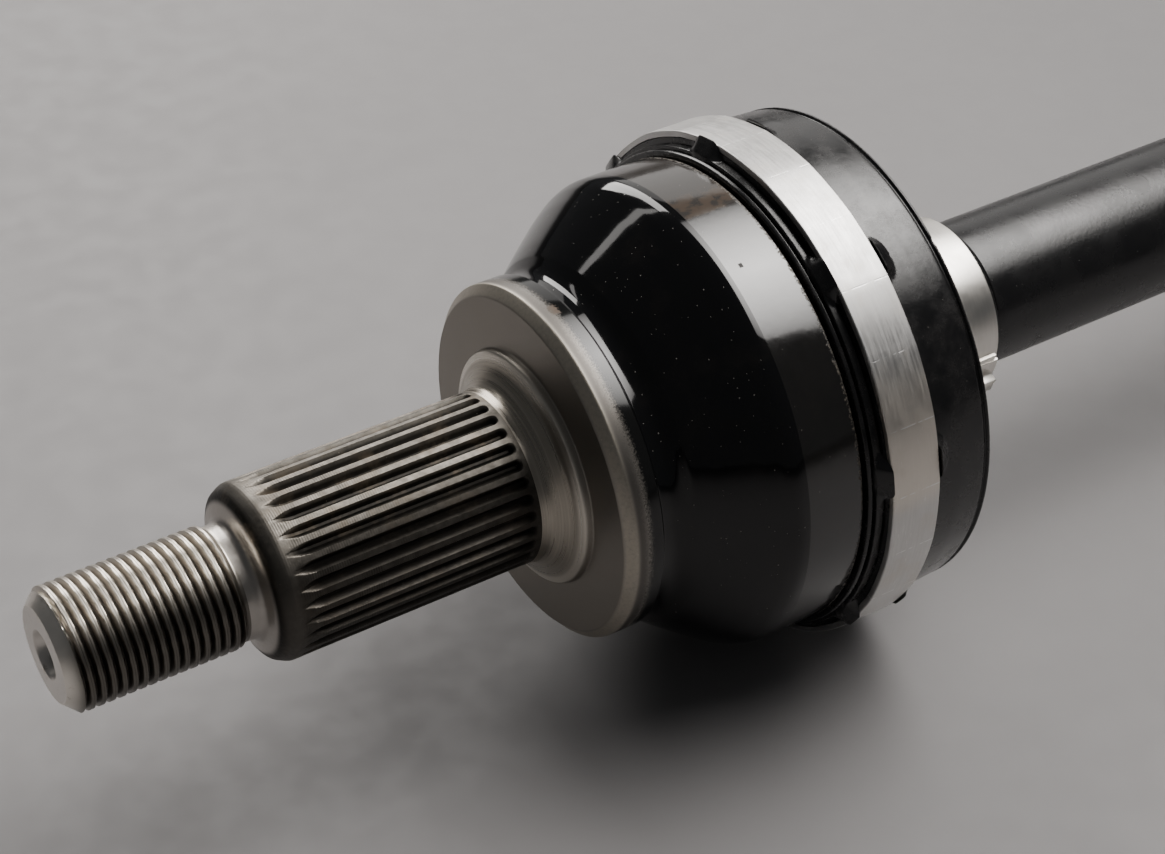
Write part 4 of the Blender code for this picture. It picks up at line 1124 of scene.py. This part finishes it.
def make_inner_boot(material):
    mouth = start_of("inner_boot_cuff")
    end = end_of("inner_boot_cuff")
    first, last, _ = INNER_CLAMP
    cuff = outline([
        (mouth, 47.5), (mouth, 49.2, 0.3), (509.0, 49.8, 1.0), (first - 0.9, 50.1, 0.3),
        (first - 0.4, 50.6, 0.3), (first - 0.3, 49.9, 0.1), (last + 0.3, 49.9, 0.1),
        (last + 0.4, 50.6, 0.3), (last + 0.9, 50.1, 0.3), (end - 1.5, 50.0, 0.3), (end, 49.2, 0.4),
        (end, 47.5),
    ])
    turned("inner_cuff", cuff, material, 216, "tulip", "inner_boot_cuff")

    start = end_of("inner_boot_neck")
    skin = outline([
        (start, 25.6), (457.8, 26.9, 2.0), (464.4, 38.8, 2.6), (470.4, 33.4, 1.9), (478.0, 43.0, 2.8),
        (485.6, 36.8, 2.0), (493.2, 47.0, 3.0), (500.2, 41.0, 2.0), (505.4, 48.6, 2.2), (mouth, 49.2),
    ])
    folds = ["inner_boot_fold_3", "inner_boot_fold_2", "inner_boot_fold_1"]
    make_skins("inner_skin", skin, [start, 467.2, 484.6, mouth], folds, material)

    first, last, _ = INNER_NECK_CLAMP
    neck_start = start_of("inner_boot_neck")
    neck = outline([
        (neck_start, 15.2), (neck_start, 17.2, 0.3), (first - 0.9, 17.8, 0.3), (first - 0.2, 17.5, 0.2),
        (last + 0.2, 17.5, 0.2), (last + 0.9, 18.6, 0.4), (449.8, 19.0, 1.5), (start, 25.6),
        (start - 0.4, 23.4), (449.4, 16.6), (448.4, 15.2),
    ])
    turned("inner_neck", neck, material, 144, "shaft", "inner_boot_neck")


# -------- pieces inside the joints
def finish_internals(steel, wire):
    """The sealed-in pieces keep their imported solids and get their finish; the balls are made truly round."""
    for number in range(1, BALLS + 1):
        node = f"outer_ball_{number}"
        low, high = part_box(node)
        bm = bmesh.new()
        bmesh.ops.create_uvsphere(bm, u_segments=48, v_segments=24, radius=BALL_RADIUS * MM)
        bmesh.ops.translate(bm, vec=(low + high) / 2, verts=bm.verts)
        # Blender makes a sphere's faces in any order; sorted, they are the same in each run.
        bm.verts.index_update()
        bm.faces.sort(key=lambda face: sum(vertex.index ** 3 for vertex in face.verts))
        mesh = bpy.data.meshes.new(f"ball_{number}")
        bm.to_mesh(mesh)
        bm.free()
        mesh.materials.append(steel)
        mesh.shade_smooth()
        ball = bpy.data.objects.new(f"ball_{number}", mesh)
        bpy.context.scene.collection.objects.link(ball)
        place(ball, "outer_cage_set", node)
    for name, node in frame["nodes"].items():
        if not node.hide_render:
            node.data.materials.clear()
            node.data.materials.append(wire if "circlip" in name or "retainer" in name else steel)


# -------- floor, light and camera
def floor_paint():
    """Pale, faintly mottled studio floor."""
    sh = Shader("floor_paint")
    sh.colour = sh.mix(sh.noise(60.0, 4, 0.6), (0.256, 0.248, 0.249), (0.280, 0.271, 0.273))
    return sh.finished(sh.range(sh.noise(9.0, 3), 0.55, 0.65))


def make_floor():
    height = cad_box[0].z
    corners = [(-1, -1), (1, -1), (1, 1), (-1, 1)]
    points = np.array([(x * FLOOR_HALF_SIZE, y * FLOOR_HALF_SIZE, height) for x, y in corners])
    add_mesh("floor", points, [(0, 1, 2, 3)], [floor_paint()])


def add_softbox(name, direction, long_axis, distance, size, radiance, shape="RECTANGLE", spread=180.0):
    """A flat light that faces the bell. `size` is its length along `long_axis` and its width. A grid on its
    face limits its light to `spread` degrees."""
    direction = Vector(direction).normalized()
    across = direction.cross(Vector(long_axis)).normalized()
    along = across.cross(direction)
    data = bpy.data.lights.new(name, "AREA")
    data.shape = shape
    data.size, data.size_y = size
    data.spread = math.radians(spread)
    data.energy = radiance * math.pi * size[0] * size[1]
    data.color = LIGHT_COLOUR
    light = bpy.data.objects.new(name, data)
    place_in_world = Matrix((along, across, direction)).transposed().to_4x4()
    place_in_world.translation = Vector((TIP + LIT_STATION * MM, 0, 0)) + direction * distance
    light.matrix_world = place_in_world
    bpy.context.scene.collection.objects.link(light)


def light_scene():
    world = bpy.data.worlds.new("studio")
    world.use_nodes = True
    background = world.node_tree.nodes["Background"]
    background.inputs["Color"].default_value = (0.95, 0.97, 1.0, 1)
    background.inputs["Strength"].default_value = 0.075
    bpy.context.scene.world = world
    add_softbox("key_strip", (0.53, 0.01, 0.85), (0, 1, 0), 1.2, (1.40, 0.50), 2.2, spread=70.0)
    add_softbox("side_strip", (-0.25, 0.75, 0.61), (0.84, -0.21, 0.54), 1.2, (0.74, 0.10), 2.4, "ELLIPSE")
    add_softbox("back_strip", (0.17, 0.85, 0.52), (0, -0.52, 0.85), 0.95, (0.62, 0.27), 8.8)
    add_softbox("back_wall", (0.66, 0.68, 0.34), (1, -0.97, 0), 2.2, (1.9, 1.1), 1.0)


def set_camera():
    data = bpy.data.cameras.new("camera")
    data.lens = CAMERA["lens"]
    data.sensor_width = 36
    camera = bpy.data.objects.new("camera", data)
    turn = math.radians(CAMERA["heading"])
    tilt = math.radians(CAMERA["downwards"])
    forward = Vector((math.cos(turn) * math.cos(tilt), math.sin(turn) * math.cos(tilt), -math.sin(tilt)))
    target = Vector((TIP + CAMERA["target_station"] * MM, CAMERA["target_side"] * MM, 0))
    camera.location = target - forward * CAMERA["distance"] * MM
    camera.rotation_euler = forward.to_track_quat("-Z", "Y").to_euler()
    bpy.context.scene.collection.objects.link(camera)
    bpy.context.scene.camera = camera


# -------- the whole axle
def build():
    boot = boot_elastomer()
    clamp = clamp_band()
    neck_clamp = neck_clamp_steel()
    wire = spring_wire()
    bell = [shoulder_steel(), black_enamel(), ground_band(), oily_steel()]
    tulip = forged_steel()

    make_stub_thread(thread_steel())
    make_hub_spline(spline_steel())
    make_bell_body(bell)
    make_outer_cuff(boot)
    make_outer_neck(boot, make_outer_folds(boot))
    make_outer_large_clamp(clamp)
    make_outer_small_clamp(neck_clamp)
    make_shaft(shaft_paint())
    make_inner_boot(boot)
    make_tulip_body(tulip)
    make_stub_spline(tulip, wire)
    make_adapter(adapter_rubber())
    make_dust_shield(zinc_plate())
    make_eared_clamp("inner_large", INNER_CLAMP, "tulip", 2.6, neck_clamp)
    make_eared_clamp("inner_small", INNER_NECK_CLAMP, "shaft", 2.4, neck_clamp)
    finish_internals(ground_steel(), wire)


build()
make_floor()
light_scene()
set_camera()
